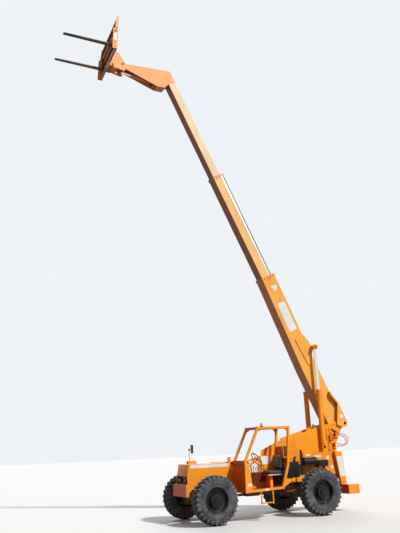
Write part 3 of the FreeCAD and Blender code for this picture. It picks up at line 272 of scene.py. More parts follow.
def wear_group():
    """Masks that every finish uses: worn edges, settled dust, run-down streaks, broad patches and grain."""
    name = "Telehandler wear"
    if name in bpy.data.node_groups:
        return bpy.data.node_groups[name]
    tree = bpy.data.node_groups.new(name, "ShaderNodeTree")
    for label, value in (("Edge radius", EDGE_R), ("Dust height", DUST_HEIGHT)):
        socket = tree.interface.new_socket(label, in_out="INPUT", socket_type="NodeSocketFloat")
        socket.default_value = value
    for label in ("Edge", "Dust", "Streak", "Patch", "Grain"):
        tree.interface.new_socket(label, in_out="OUTPUT", socket_type="NodeSocketFloat")
    source, sink = tree.nodes.new("NodeGroupInput").outputs, tree.nodes.new("NodeGroupOutput")
    place = coordinates(tree)
    upward = split(tree, coordinates(tree, "Normal"))["Z"]

    bevel = add(tree, "ShaderNodeBevel", {"Radius": source["Edge radius"]}, samples=4).outputs["Normal"]
    flat = add(tree, "ShaderNodeNewGeometry").outputs["Normal"]
    turned = sums(tree, "SUBTRACT", 1.0, dot(tree, bevel, flat))
    broken = noise(tree, place, 14.0, 6.0, 0.7)
    edge = times(tree, ranged(tree, turned, 0.03, 0.2), ranged(tree, broken, 0.47, 0.62))

    height = sums(tree, "DIVIDE", split(tree, place)["Z"], source["Dust height"])
    settled = sums(tree, "ADD", times(tree, ranged(tree, upward, 0.35, 0.95), 0.55),
                   ranged(tree, height, 0.1, 1.3, 0.8, 0.0), clamp=True)
    cloud = noise(tree, place, 3.2, 7.0, 0.62)
    dust = times(tree, settled, ranged(tree, cloud, 0.36, 0.68), clamp=True)

    run = noise(tree, place, 5.0, 5.0, 0.6, (2.2, 2.2, 0.16))
    upright = sums(tree, "SUBTRACT", 1.0, sums(tree, "ABSOLUTE", upward))
    streak = times(tree, ranged(tree, run, 0.52, 0.72), upright)
    feed(tree, sink, {"Edge": edge, "Dust": dust, "Streak": streak,
                      "Patch": noise(tree, place, 1.1), "Grain": noise(tree, place, 160.0, 3.0)})
    return tree


def start_material(name):
    material = bpy.data.materials.new(name)
    material.use_nodes = True
    tree = material.node_tree
    tree.nodes.clear()
    shader = add(tree, "ShaderNodeBsdfPrincipled")
    add(tree, "ShaderNodeOutputMaterial", {"Surface": shader.outputs["BSDF"]})
    return material, tree, shader


def place_wear(tree, radius=EDGE_R, height=DUST_HEIGHT):
    inputs = {"Edge radius": radius, "Dust height": height}
    return add(tree, "ShaderNodeGroup", inputs, node_tree=wear_group()).outputs


def shaded(colour, factor=1.0):
    return tuple(min(1.0, c * factor) for c in colour) + (1.0,)


def paint_shade(tree, base, side, amount, colour, low):
    """Painted shade: faces that look to one side of the piece are mixed toward a darker colour."""
    shade_mask = ranged(tree, dot(tree, coordinates(tree, "Normal"), side), low, 0.995)
    return mix_colour(tree, times(tree, shade_mask, amount), base, shaded(colour))


def painted(name, colour, roughness, dust=0.3, chips=0.8, streaks=0.35, chip_colour=(0.10, 0.045, 0.02),
            shade_sides=(), shade_colour=(0.20, 0.020, 0.007), shade_from=0.90):
    """Sprayed enamel on steel, sun-faded in patches, with streaks, chipped edges, dust, and painted shade on faces
    that look to the given sides.
    """
    material, tree, shader = start_material(name)
    wear = place_wear(tree)
    fading = ranged(tree, wear["Patch"], 0.35, 0.7)
    base = mix_colour(tree, fading, shaded(colour, 0.92), shaded(colour, 1.08))
    base = mix_colour(tree, times(tree, wear["Streak"], streaks), base, shaded(colour, 0.45))
    # painted shade: faces that look to each given side are darkened toward the shade colour
    for side, amount in shade_sides:
        base = paint_shade(tree, base, side, amount, shade_colour, shade_from)
    chipped = times(tree, wear["Edge"], chips, clamp=True)
    base = mix_colour(tree, chipped, base, shaded(chip_colour))
    dusty = times(tree, wear["Dust"], dust, clamp=True)
    base = mix_colour(tree, dusty, base, shaded(colours().dust))
    rough = sums(tree, "ADD", times(tree, wear["Patch"], 0.12), roughness - 0.06)
    rougher = times(tree, sums(tree, "ADD", dusty, chipped), 0.4)
    feed(tree, shader, {"Base Color": base, "Roughness": sums(tree, "ADD", rough, rougher, clamp=True),
                        "Specular IOR Level": 0.22, "Normal": bump(tree, wear["Grain"], 0.06, 0.002)})
    return material


def rubber(name, colour):
    """Tyre rubber: grey where it is scuffed and dusty, more so on the sidewall than on the tread."""
    material, tree, shader = start_material(name)
    wear = place_wear(tree, 0.012, 3.0)
    base = mix_colour(tree, ranged(tree, wear["Patch"], 0.3, 0.75), shaded(colour, 0.75), shaded(colour, 1.5))
    base = mix_colour(tree, times(tree, wear["Edge"], 0.35), base, shaded(colour, 3.4))
    sideways = sums(tree, "ABSOLUTE", split(tree, coordinates(tree, "Normal"))["Y"])
    dusty = times(tree, wear["Dust"], ranged(tree, sideways, 0.35, 0.9, 0.12, 0.55), clamp=True)
    grain = noise(tree, coordinates(tree), 70.0, 5.0, 0.7)
    feed(tree, shader, {"Base Color": mix_colour(tree, dusty, base, (0.235, 0.235, 0.225, 1)),
                        "Roughness": 0.78, "Specular IOR Level": 0.25, "Normal": bump(tree, grain, 0.25, 0.004)})
    return material


def bright_steel(name, colour=(0.80, 0.81, 0.83), roughness=0.14, oil=0.5):
    """Hard-chromed rod with an oily film in streaks."""
    material, tree, shader = start_material(name)
    wear = place_wear(tree)
    base = mix_colour(tree, times(tree, wear["Streak"], oil), shaded(colour), shaded(colour, 0.45))
    rough = sums(tree, "ADD", times(tree, wear["Patch"], 0.16), roughness - 0.06)
    feed(tree, shader, {"Base Color": base, "Metallic": 1.0, "Roughness": rough})
    return material


def worn_steel(name, colour):
    """Dark fork steel with bare, scraped edges and rust blooms."""
    material, tree, shader = start_material(name)
    wear = place_wear(tree, 0.012)
    rust, bare = shaded((0.16, 0.06, 0.025)), shaded((0.42, 0.38, 0.34))
    base = mix_colour(tree, ranged(tree, wear["Patch"], 0.4, 0.7), shaded(colour, 0.8), rust)
    feed(tree, shader, {"Base Color": mix_colour(tree, wear["Edge"], base, bare),
                        "Metallic": times(tree, wear["Edge"], 0.8), "Roughness": 0.55,
                        "Specular IOR Level": 0.3, "Normal": bump(tree, wear["Grain"], 0.2, 0.003)})
    return material


def plain(name, colour, roughness, metallic=0.0, grain=60.0, strength=0.1, dust=0.25, coat=0.0):
    """A moulded or cast surface with a fine grain and a little dust."""
    material, tree, shader = start_material(name)
    wear = place_wear(tree)
    base = mix_colour(tree, ranged(tree, wear["Patch"], 0.3, 0.7), shaded(colour, 0.85), shaded(colour, 1.15))
    base = mix_colour(tree, times(tree, wear["Dust"], dust, clamp=True), base, shaded(colours().dust))
    pores = noise(tree, coordinates(tree), grain)
    feed(tree, shader, {"Base Color": base, "Metallic": metallic, "Roughness": roughness, "Coat Weight": coat,
                        "Normal": bump(tree, pores, strength, 0.003)})
    return material


def vinyl(name, colour):
    """Seat vinyl with a pebbled grain."""
    material, tree, shader = start_material(name)
    place = coordinates(tree)
    cells = add(tree, "ShaderNodeTexVoronoi", {"Vector": place, "Scale": 420.0}).outputs["Distance"]
    worn = ranged(tree, noise(tree, place, 9.0), 0.4, 0.7)
    feed(tree, shader, {"Base Color": mix_colour(tree, worn, shaded(colour), shaded(colour, 2.4)),
                        "Roughness": 0.5, "Normal": bump(tree, cells, 0.25, 0.0015)})
    return material


def lens(name, colour):
    """Ribbed lamp lens."""
    material, tree, shader = start_material(name)
    place = coordinates(tree)
    ribs = add(tree, "ShaderNodeTexWave", {"Vector": place, "Scale": 26.0}).outputs["Fac"]
    cloudy = noise(tree, place, 30.0, 3.0)
    feed(tree, shader, {"Base Color": mix_colour(tree, cloudy, shaded(colour, 0.9), shaded(colour, 1.1)),
                        "Roughness": 0.12, "Coat Weight": 0.6, "Normal": bump(tree, ribs, 0.3, 0.002)})
    return material


def mirror_glass(name):
    material, tree, shader = start_material(name)
    smear = noise(tree, coordinates(tree), 12.0)
    feed(tree, shader, {"Base Color": mix_colour(tree, smear, (0.75, 0.77, 0.8, 1), (0.6, 0.62, 0.65, 1)),
                        "Metallic": 1.0, "Roughness": 0.06})
    return material


FINISHES = {}


def make_finishes():
    c = colours()
    FINISHES.update(
        # Painted shade: the red-brown film on the front faces of the frame and cab orange.
        orange=painted("Orange enamel", c.orange, 0.44, shade_sides=[(AHEAD, 0.8)], shade_colour=(0.55, 0.024, 0.006),
                       shade_from=0.984),
        # Painted shade: the dark film under the boom and the head.
        orange_boom=painted("Boom enamel", c.boom, 0.44, shade_sides=[(-BOOM_UP, 0.6)]),
        orange_pale=painted("Faded enamel", c.faded, 0.46, shade_sides=[(-BOOM_UP, 0.86)]),
        orange_bleached=painted("Bleached enamel", c.bleached, 0.48, shade_sides=[(-BOOM_UP, 0.88)]),
        orange_neck=painted("Head enamel", c.neck, 0.48, shade_sides=[(-BOOM_UP, 0.8), (NECK_DOWN, 0.8)]),
        # Painted shade: the carriage's front and underside are darkened.
        orange_carriage=painted("Carriage enamel", c.neck, 0.48, shade_sides=[(AHEAD, 0.7), (DOWN, 0.75)]),
        orange_dark=painted("Bolt enamel", shaded(c.orange, 0.6)[:3], 0.5),
        # Painted shade on the front faces of the cab's inside orange.
        orange_shaded=painted("Cab inside enamel", c.orange, 0.5, shade_sides=[(AHEAD, 0.8)],
                              shade_colour=(0.50, 0.024, 0.006)),
        # maroon: painted shade on the guard slats, and painted shadows of pipes as the tower lines
        maroon=painted("Shaded guard paint", (0.10, 0.028, 0.012), 0.5),
        rod_white=bright_steel("Bright rod", (0.93, 0.93, 0.94), 0.34, 0.2),
        rim=painted("Rim enamel", c.black, 0.22, 0.12, 0.5, 0.1, (0.20, 0.19, 0.18)),
        # lug rubber 2.9 times lighter: scuffing, and partly a painted highlight on the lugs
        rubber_worn=rubber("Scuffed lug rubber with painted highlight", tuple(2.9 * v for v in c.rubber)),
        # recess: painted shade in the nose's recess and the cab's vent slots
        recess=painted("Recess painted shade", (0.055, 0.014, 0.007), 0.6, 0.1),
        console_brown=painted("Console enamel", (0.115, 0.017, 0.006), 0.6, 0.06),
        # dark head-lamp glass: painted shade of the nose's recess
        smoked=plain("Lamp glass painted shade", (0.022, 0.012, 0.010), 0.30, grain=8.0, strength=0.02, coat=0.15),
        gear=painted("Dusty gear paint", c.gear, 0.6, 0.5, 0.4, 0.3),
        black=painted("Black enamel", c.black, 0.35, 0.06, 0.4, 0.1, (0.14, 0.12, 0.10)),
        rubber=rubber("Tyre rubber", c.rubber),
        chrome=bright_steel("Chromed rod"),
        cable=plain("Hose rubber", (0.02, 0.016, 0.014), 0.5, grain=90.0),
        hose_painted=plain("Oversprayed hose rubber", (0.60, 0.19, 0.014), 0.55, grain=90.0),
        fork=worn_steel("Fork steel", (0.020, 0.013, 0.010)),
        vinyl=vinyl("Seat vinyl", tuple(0.6 * v for v in c.vinyl)),
        plastic=plain("Wheel plastic", (0.012, 0.012, 0.013), 0.4),
        iron=plain("Engine iron", (0.06, 0.06, 0.065), 0.6, 0.4, 40.0, 0.4),
        clear=lens("Lamp lens", (0.86, 0.86, 0.80)),
        yellow=lens("Marker lens", (0.85, 0.45, 0.04)),
        amber=lens("Beacon lens", (0.88, 0.33, 0.02)),
        white=plain("Blank plate", c.white, 0.45, grain=20.0, strength=0.03, dust=0.5),
        zinc=plain("Zinc plated steel", (0.42, 0.40, 0.36), 0.38, 0.8, 60.0, 0.1),
        mirror=mirror_glass("Mirror glass"),
    )


SLOT_FINISH = {  # the record's slot, the finish of its CAD nodes
    "orange_paint": "orange", "cab_paint": "orange", "running_gear_paint": "gear", "rim_paint": "rim",
    "tyre_rubber": "rubber", "rod_chrome": "chrome", "hose_rubber": "cable", "fork_steel": "fork",
    "seat_vinyl": "vinyl", "wheel_plastic": "plastic", "black_paint": "black", "engine_iron": "iron",
    "lamp_lens": "clear", "amber_lens": "amber",
}
NODE_FINISH = {  # nodes with a finish of their own
    "boom_section_1": "orange_boom", "boom_section_2": "orange_pale", "boom_section_3": "orange_bleached",
    "gooseneck": "orange_neck", "coupler": "orange_neck", "level_barrel": "orange_neck",
    "tilt_barrel": "orange_neck", "carriage": "orange_carriage", "extend_rod": "rod_white",
    "side_console": "console_brown",
}
ROUNDED = {  # nodes of welded steel whose edges are rounded, and by how much
    "front_frame": 0.006, "rear_frame": 0.004, "counterweight": 0.008, "cab_frame": 0.006, "side_deck": 0.003,
    "boom_section_1": 0.005, "boom_section_2": 0.004, "boom_section_3": 0.006, "gooseneck": 0.008,
    "coupler": 0.004, "carriage": 0.003, "forks": 0.005, "battery_box": 0.006, "side_console": 0.006,
}
OTHER_FINISHES = {  # the record's slot, further finishes that belong to it
    "orange_paint": ("orange_boom", "orange_neck", "orange_carriage", "orange_pale", "orange_bleached",
                     "orange_dark", "orange_shaded", "maroon", "recess", "console_brown"),
    "rod_chrome": ("rod_white", "zinc", "mirror"), "tyre_rubber": ("rubber_worn",),
    "black_paint": ("smoked",), "lamp_lens": ("white",), "amber_lens": ("yellow",),
}
FINISH_SLOT = {finish: slot for slot, finish in reversed(list(SLOT_FINISH.items()))}
FINISH_SLOT.update({finish: slot for slot, others in OTHER_FINISHES.items() for finish in others})


# Mesh tools
CREASE_ANGLE = math.radians(32)
CORNER_STEPS = 5


def crease(mesh):
    """Smooth shading with sharp edges kept."""
    bm = bmesh.new()
    bm.from_mesh(mesh)
    for face in bm.faces:
        face.smooth = True
    for edge in bm.edges:
        edge.smooth = len(edge.link_faces) == 2 and edge.calc_face_angle(0.0) < CREASE_ANGLE
    bm.to_mesh(mesh)
    bm.free()


def link_mesh(name, bm):
    """The object of a bmesh, at the origin."""
    mesh = bpy.data.meshes.new(name)
    bm.to_mesh(mesh)
    bm.free()
    obj = bpy.data.objects.new(name, mesh)
    bpy.context.scene.collection.objects.link(obj)
    return obj


def piece(name, bm, body, finish, replaces=()):
    """The finished piece of a bmesh, which rides on a body."""
    bmesh.ops.recalc_face_normals(bm, faces=bm.faces)
    obj = link_mesh(name, bm)
    crease(obj.data)
    obj.data.materials.append(FINISHES[finish])
    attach(obj, body)
    if replaces:
        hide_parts(*replaces)
    return obj


def frame_of(origin, x_dir, y_dir):
    """A matrix that takes local x, y, z to the given x and y directions and their cross product."""
    x, y = Vector(x_dir).normalized(), Vector(y_dir).normalized()
    return Matrix.Translation(origin) @ Matrix((x, y, x.cross(y))).transposed().to_4x4()


def round_edges(bm, edges, offset, segments):
    bmesh.ops.bevel(bm, geom=list(edges), offset=offset, offset_type="OFFSET", affect="EDGES",
                    segments=segments, profile=0.5, material=-1, clamp_overlap=True)


def add_block(bm, low, high, round_by=0.0, segments=2):
    low, high = Vector(low), Vector(high)
    matrix = Matrix.Translation((low + high) / 2) @ Matrix.Diagonal((*(high - low), 1))
    made = bmesh.ops.create_cube(bm, size=1.0, matrix=matrix)
    if round_by:
        round_edges(bm, {e for v in made["verts"] for e in v.link_edges}, round_by, segments)
    return made["verts"]


def add_rod(bm, a, b, radius, sides, end_radius=None):
    a, b = Vector(a), Vector(b)
    matrix = Matrix.Translation((a + b) / 2) @ (b - a).to_track_quat("Z", "Y").to_matrix().to_4x4()
    end = radius if end_radius is None else end_radius
    bmesh.ops.create_cone(bm, cap_ends=True, segments=sides, radius1=radius, radius2=end,
                          depth=(b - a).length, matrix=matrix)


def add_nut(bm, foot, out, radius, height):
    """A hexagon head on its washer."""
    foot, out = Vector(foot), Vector(out).normalized()
    washer = foot + out * height * 0.25
    add_rod(bm, foot, washer, radius * 1.3, 16)
    add_rod(bm, washer, foot + out * height, radius, 6, radius * 0.93)


def add_keeper(bm, foot, side, radius, sides, nut, nuts=((0, 0),), thick=0.006):
    """A round keeper plate on a face that looks to one side, with nuts at (ahead, up) from its middle."""
    out = Vector((0, side * thick, 0))
    add_rod(bm, foot, foot + out, radius, sides)
    for ahead, up in nuts:
        add_nut(bm, foot + out + Vector((ahead, 0, up)), out, *nut)


def add_spun(bm, section, origin, axis, steps, start=None):
    """A closed section of (radius, along) points spun round the axis."""
    if start is None:
        start = AHEAD if axis[2] else UP
    out, run = Vector(start).normalized(), Vector(axis).normalized()
    verts = [bm.verts.new(Vector(origin) + out * r + run * h) for r, h in section]
    edges = [bm.edges.new((a, b)) for a, b in zip(verts, verts[1:] + verts[:1])]
    bmesh.ops.spin(bm, geom=verts + edges, cent=origin, axis=run, angle=2 * math.pi, steps=steps,
                   use_merge=True, use_normal_flip=False)


def join(bm, part):
    """Adds a bmesh's geometry to another and frees it."""
    mesh = bpy.data.meshes.new("part")
    part.to_mesh(mesh)
    part.free()
    bm.from_mesh(mesh)
    bpy.data.meshes.remove(mesh)


def circle(count, radius, start=0.0):
    """Evenly spaced points of a circle, as pairs."""
    turns = (start + 2 * math.pi * k / count for k in range(count))
    return [(radius * math.cos(a), radius * math.sin(a)) for a in turns]


def round_corners(points, radius):
    """A 2D outline with each corner turned into an arc."""
    out = []
    for i, p in enumerate(points):
        a, p, b = Vector(points[i - 1]), Vector(p), Vector(points[(i + 1) % len(points)])
        to_a, to_b = (a - p).normalized(), (b - p).normalized()
        half = to_a.angle(to_b) / 2
        cut = min(radius / math.tan(half), (a - p).length * 0.45, (b - p).length * 0.45)
        start, end = p + to_a * cut, p + to_b * cut
        for k in range(CORNER_STEPS + 1):
            t = k / CORNER_STEPS
            out.append(start * (1 - t) ** 2 + p * 2 * t * (1 - t) + end * t ** 2)
    return out


def add_plate(bm, outline, thickness, place=None):
    """A plate from a 2D outline in the place matrix's x-y plane, thick along its z."""
    verts = [bm.verts.new((p[0], p[1], 0)) for p in outline]
    face = bm.faces.new(verts)
    pushed = bmesh.ops.extrude_face_region(bm, geom=[face])
    top = [v for v in pushed["geom"] if isinstance(v, bmesh.types.BMVert)]
    bmesh.ops.translate(bm, verts=top, vec=(0, 0, thickness))
    if place:
        bmesh.ops.transform(bm, matrix=place, verts=verts + top)
    return verts + top


# Wheels: a lug's top and root as (side, radius) from the tread's middle over the shoulder
LUG_TOP = [(-0.022, 0.6365), (0.050, 0.6355), (0.105, 0.6320), (0.146, 0.6240), (0.172, 0.6000),
           (0.1815, 0.5600), (0.1820, 0.5200)]
LUG_ROOT = [(-0.022, 0.585), (0.050, 0.585), (0.100, 0.583), (0.128, 0.575), (0.145, 0.560), (0.155, 0.545),
            (0.160, 0.512)]
LUG_HALF_WIDTH, LUG_WIDENING = 0.020, 0.0018  # at the tread's middle, and added by each step outward
LUG_TOP_SHARE, LUG_ROOT_SHARE = 0.80, 1.12    # of that width
LUG_TURN_FROM, LUG_TURN_TO = 0.07, 0.150      # the part of the side that leans
LUG_EDGE = 0.004
CARCASS_STEPS = 72
WHEEL_NUT_R, HUB_NUT_R, HUB_NUTS = 0.175, 0.072, 6
HUB_RING = [(0.118, 0.136), (0.140, 0.136), (0.136, 0.148), (0.122, 0.148)]
VALVE = (0.262, 0.050, 0), (0.250, 0.105, 0)


def tyre_section():
    """Half of the section as (radius, side) points, from the bead over the sidewall to the tread's middle."""
    tread_r = TYRE_R - sizes().lug_height
    return [(LIP_R - 0.018, 0.0), (LIP_R - 0.018, 0.118), (LIP_R + 0.006, 0.150), (LIP_R + 0.020, 0.163),
            (LIP_R + 0.030, 0.158), (0.375, 0.164), (0.430, 0.174), (0.447, 0.181), (0.458, 0.181),
            (0.464, 0.175), (0.495, 0.176), (0.535, 0.170), (0.565, 0.158), (tread_r - 0.010, 0.140), (tread_r, 0.100),
            (tread_r + 0.002, 0.040)]


def make_lug():
    """One chevron lug of the left half, from just past the tread's middle down over the shoulder."""
    s = sizes()
    slope = math.tan(s.lug_lean)
    bm = bmesh.new()
    bmesh.ops.create_cube(bm, size=1.0)
    along = [e for e in bm.edges if abs((e.verts[0].co - e.verts[1].co).y) > 0.5]
    bmesh.ops.subdivide_edges(bm, edges=along, cuts=len(LUG_TOP) - 2, use_grid_fill=False)
    for vert in bm.verts:
        k, high, w = round((vert.co.y + 0.5) * (len(LUG_TOP) - 1)), vert.co.x > 0, vert.co.z * 2
        across, radius = (LUG_TOP if high else LUG_ROOT)[k]
        width = (LUG_HALF_WIDTH + LUG_WIDENING * k) * (LUG_TOP_SHARE if high else LUG_ROOT_SHARE)
        turn = (slope * (min(LUG_TOP[k][0], LUG_TURN_TO) - LUG_TURN_FROM) + w * width) / TYRE_R
        vert.co = Vector((radius * math.cos(turn), across, radius * math.sin(turn)))
    outer = [f for f in bm.faces if sum(v.co.xz.length for v in f.verts) / 4 > TYRE_R - s.lug_height]
    round_edges(bm, {e for f in outer for e in f.edges if e.calc_face_angle(0.0) > 0.5}, LUG_EDGE, 1)
    return bm


def build_tyre():
    bm = make_lug()
    lug = bm.verts[:] + bm.edges[:] + bm.faces[:]
    pairs = sizes().lug_pairs
    for i in range(1, 2 * pairs):
        copy = bmesh.ops.duplicate(bm, geom=lug)["geom"]
        verts = [v for v in copy if isinstance(v, bmesh.types.BMVert)]
        if i % 2:
            bmesh.ops.scale(bm, verts=verts, vec=(1, -1, 1))
        bmesh.ops.rotate(bm, verts=verts, cent=(0, 0, 0), matrix=Matrix.Rotation(math.pi * i / pairs, 3, "Y"))
    for face in bm.faces:
        face.material_index = 1
    half = tyre_section()
    add_spun(bm, half + [(r, -y) for r, y in reversed(half[1:])], (0, 0, 0), LEFT, CARCASS_STEPS, AHEAD)
    bmesh.ops.recalc_face_normals(bm, faces=bm.faces)
    return bm


def wheel_place(wheel):
    """The wheel's middle, mirrored on the right side so that its outside stays outside."""
    spot = middle("tyre_" + wheel)
    place = Matrix.Translation(spot)
    return place @ Matrix.Scale(-1, 4, LEFT) if spot.y < 0 else place


class TELEHANDLER_OT_tyres(Operator):
    """Builds the four lugged tyres"""
    bl_idname = "telehandler.tyres"
    bl_label = "Tyres"

    def execute(self, context):
        for wheel in WHEELS:
            bm = build_tyre()
            bmesh.ops.transform(bm, matrix=wheel_place(wheel), verts=bm.verts)
            tyre = piece("road_tyre_" + wheel, bm, "wheel_" + wheel, "rubber", ["tyre_" + wheel])
            # the lugs take the lighter rubber: scuffing, and partly a painted highlight
            tyre.data.materials.append(FINISHES["rubber_worn"])
        return {"FINISHED"}


class TELEHANDLER_OT_wheel_nuts(Operator):
    """Adds nuts, hub ring and valve to each rim"""
    bl_idname = "telehandler.wheel_nuts"
    bl_label = "Wheel nuts"

    def execute(self, context):
        for wheel in WHEELS:
            bm = bmesh.new()
            for x, z in circle(sizes().wheel_nuts, WHEEL_NUT_R):
                add_nut(bm, (x, 0.030, z), LEFT, 0.014, 0.024)
            for x, z in circle(HUB_NUTS, HUB_NUT_R):
                add_nut(bm, (x, 0.170, z), LEFT, 0.008, 0.012)
            add_spun(bm, HUB_RING, (0, 0, 0), LEFT, 40, AHEAD)
            add_rod(bm, *VALVE, 0.006, 10)
            bmesh.ops.recalc_face_normals(bm, faces=bm.faces)
            bmesh.ops.transform(bm, matrix=wheel_place(wheel), verts=bm.verts)
            piece("wheel_nuts_" + wheel, bm, "wheel_" + wheel, "black")
        return {"FINISHED"}


# Blank plates and bands
PLATE_GAP = 0.0004  # between a plate and the face it lies on


def left_face(x, z, out):
    return at(x, out, z)


def add_face_plate(bm, corners, y, side, radius=0.0, thickness=None, to_place=left_face):
    """A thin plate on a face that looks to the left (1) or right (-1), from corners in that face."""
    outline = round_corners(corners, radius) if radius else corners
    for vert in add_plate(bm, outline, thickness or sizes().plate_thickness):
        a, b, out = vert.co
        vert.co = to_place(a, b, side * (y + PLATE_GAP + out))


class TELEHANDLER_OT_plates(Operator):
    """Lays the blank white plates and bands on the boom, frame, cab, leg and carriage"""
    bl_idname = "telehandler.plates"
    bl_label = "Blank plates"

    def execute(self, context):
        for side, tag in ((1, "left"), (-1, "right")):
            bm = bmesh.new()
            add_face_plate(bm, BOOM_PLATE, BOOM_HALF, side, 0.06, to_place=on_boom)
            add_face_plate(bm, BOOM_TRIANGLE, BOOM_HALF, side, 0.02, to_place=on_boom)
            disc = [(EAR_DISC[0] + a, EAR_DISC[1] + b) for a, b in circle(28, EAR_DISC_R)]
            add_face_plate(bm, disc, EAR_Y, side)
            piece("boom_plates_" + tag, bm, "boom_base", "white")
            bm = bmesh.new()
            add_face_plate(bm, FRONT_BAND, FRONT_Y, side, 0.008)
            add_face_plate(bm, LEG_PLATE, LEG_Y, side, 0.008)
            for corners in BEAM_PLATES:
                add_face_plate(bm, corners, BEAM_Y, side, 0.006)
            piece("frame_plates_" + tag, bm, "chassis", "white")
        bm = bmesh.new()
        for corners in CAB_PLATES:
            add_face_plate(bm, corners, CAB_WALL_Y, 1, 0.01)
        add_face_plate(bm, RAIL_PLATE, CAB_OUT_Y, 1, 0.004)
        add_face_plate(bm, CONSOLE_BAND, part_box("steering_column")[1].y, 1, 0.006)
        piece("cab_plates", bm, "chassis", "white")
        bm = bmesh.new()
        for side in SIDES:
            add_face_plate(bm, HEAD_PLATE, HEAD_HALF, side, 0.006, to_place=on_carriage)
        piece("carriage_plates", bm, "fork_carriage", "white")
        return {"FINISHED"}


# Soft pieces: insets of a pad's foot and top (rear, front, upright) in its node's box, foot's clearance
PADS = {
    "seat_cushion": ("cushion", (0.014, 0.014, 0.004), (0.014, 0.016, 0.018), 0.0005),
    "seat_back": ("backrest", (0.039, 0.014, 0.016), (0.014, 0.059, 0.014), 0.002),
}
PAD_SWELL, PAD_CORNER, PAD_VOXEL, PAD_PRESSURE, PAD_FRAMES = 0.012, 0.024, 0.009, 4.0, 20
CHANNELS, CHANNEL_WIDTH, CHANNEL_DEPTH = (-0.11, 0.11), 0.009, 0.009


def bake(obj):
    """Turns the modifiers of an object into its mesh."""
    graph = bpy.context.evaluated_depsgraph_get()
    mesh = bpy.data.meshes.new_from_object(obj.evaluated_get(graph))
    obj.modifiers.clear()
    old, obj.data = obj.data, mesh
    bpy.data.meshes.remove(old)


def pad(node, name, foot, top, clearance):
    """A seat pad blown up as cloth from the eight corners of its block, with two sewn channels."""
    low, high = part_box(node)
    centre = (low + high) / 2
    ends = low.x - REAR_AXLE_X, high.x - REAR_AXLE_X
    bm = bmesh.new()
    bmesh.ops.create_cube(bm, size=2.0)
    for vert in bm.verts:
        rear, front, upright = top if vert.co.z > 0 else foot
        x = ends[0] + rear if vert.co.x < 0 else ends[1] - front
        y = centre.y + math.copysign((high.y - low.y) / 2 - PAD_SWELL - 0.002, vert.co.y)
        vert.co = at(x, y, high.z - upright if vert.co.z > 0 else low.z + upright)
    round_edges(bm, bm.edges[:], PAD_CORNER, 3)
    obj = link_mesh(name, bm)
    remesh = obj.modifiers.new("Remesh", "REMESH")
    remesh.mode, remesh.voxel_size = "VOXEL", PAD_VOXEL
    bake(obj)
    rest = [v.co.copy() for v in obj.data.vertices]
    cloth = obj.modifiers.new("Cloth", "CLOTH")
    cloth.settings.use_pressure = True
    cloth.settings.uniform_pressure_force = PAD_PRESSURE
    cloth.settings.effector_weights.gravity = 0.0
    for step in range(1, PAD_FRAMES + 1):
        bpy.context.scene.frame_set(step)
    bake(obj)
    bpy.context.scene.frame_set(1)
    for vert, start in zip(obj.data.vertices, rest):
        move = vert.co - start
        if move.length > PAD_SWELL:
            move *= PAD_SWELL / move.length
        spot = start + move
        sunk = sum(math.exp(-((spot.y - centre.y - c) / CHANNEL_WIDTH) ** 2) for c in CHANNELS)
        spot += (centre - spot).normalized() * min(1.0, sunk) * CHANNEL_DEPTH
        spot.z = max(spot.z, low.z + clearance)
        vert.co = spot
    for face in obj.data.polygons:
        face.use_smooth = True
    smooth = obj.modifiers.new("Subdivision", "SUBSURF")
    smooth.levels = smooth.render_levels = 1
    obj.data.materials.clear()
    obj.data.materials.append(FINISHES["vinyl"])
    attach(obj, "chassis")
    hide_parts(node)


class TELEHANDLER_OT_seat(Operator):
    """Sews the seat's cushion and back, and adds the rail at the cushion's side"""
    bl_idname = "telehandler.seat"
    bl_label = "Seat"

    def execute(self, context):
        for node, values in PADS.items():
            pad(node, *values)
        low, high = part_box("seat_cushion")
        bm = bmesh.new()
        add_block(bm, at(1.19, high.y - 0.022, low.z - 0.030), at(1.62, high.y + 0.004, low.z - 0.002), 0.003)
        for x in (1.22, 1.56):
            add_nut(bm, at(x, high.y + 0.003, low.z - 0.016), LEFT, 0.007, 0.008)
        piece("seat_rail", bm, "chassis", "zinc")
        return {"FINISHED"}


# Hoses
FERRULE_BORE = HOSE_R + 0.0004
FERRULE = [(FERRULE_BORE, 0.0), (0.0175, 0.0), (0.0175, 0.034), (0.0150, 0.040), (FERRULE_BORE, 0.040)]


class TELEHANDLER_OT_hoses(Operator):
    """Runs the two hose loops behind the tower, with a crimped ferrule at each end"""
    bl_idname = "telehandler.hoses"
    bl_label = "Hoses"

    def execute(self, context):
        for i, route in enumerate(HOSE_ROUTES, 1):
            curve = bpy.data.curves.new(f"hose_{i}", "CURVE")
            curve.dimensions = "3D"
            curve.resolution_u, curve.bevel_resolution = 16, 5
            curve.bevel_depth, curve.use_fill_caps = HOSE_R, True
            spline = curve.splines.new("NURBS")
            spline.points.add(len(route) - 1)
            for point, place in zip(spline.points, route):
                point.co = (*at(*place), 1.0)
            spline.order_u = 3
            spline.use_endpoint_u = True
            obj = bpy.data.objects.new(f"hose_{i}", curve)
            context.scene.collection.objects.link(obj)
            curve.materials.append(FINISHES["hose_painted"])
            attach(obj, "chassis")
            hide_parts(f"tower_hose_{i}")
            bm = bmesh.new()
            for end, inner in ((route[0], route[1]), (route[-1], route[-2])):
                run = (at(*inner) - at(*end)).normalized()
                add_spun(bm, FERRULE, at(*end) + run * 0.0005, run, 20, UP)
            ferrule = piece(f"hose_ferrules_{i}", bm, "chassis", "zinc")
        return {"FINISHED"}


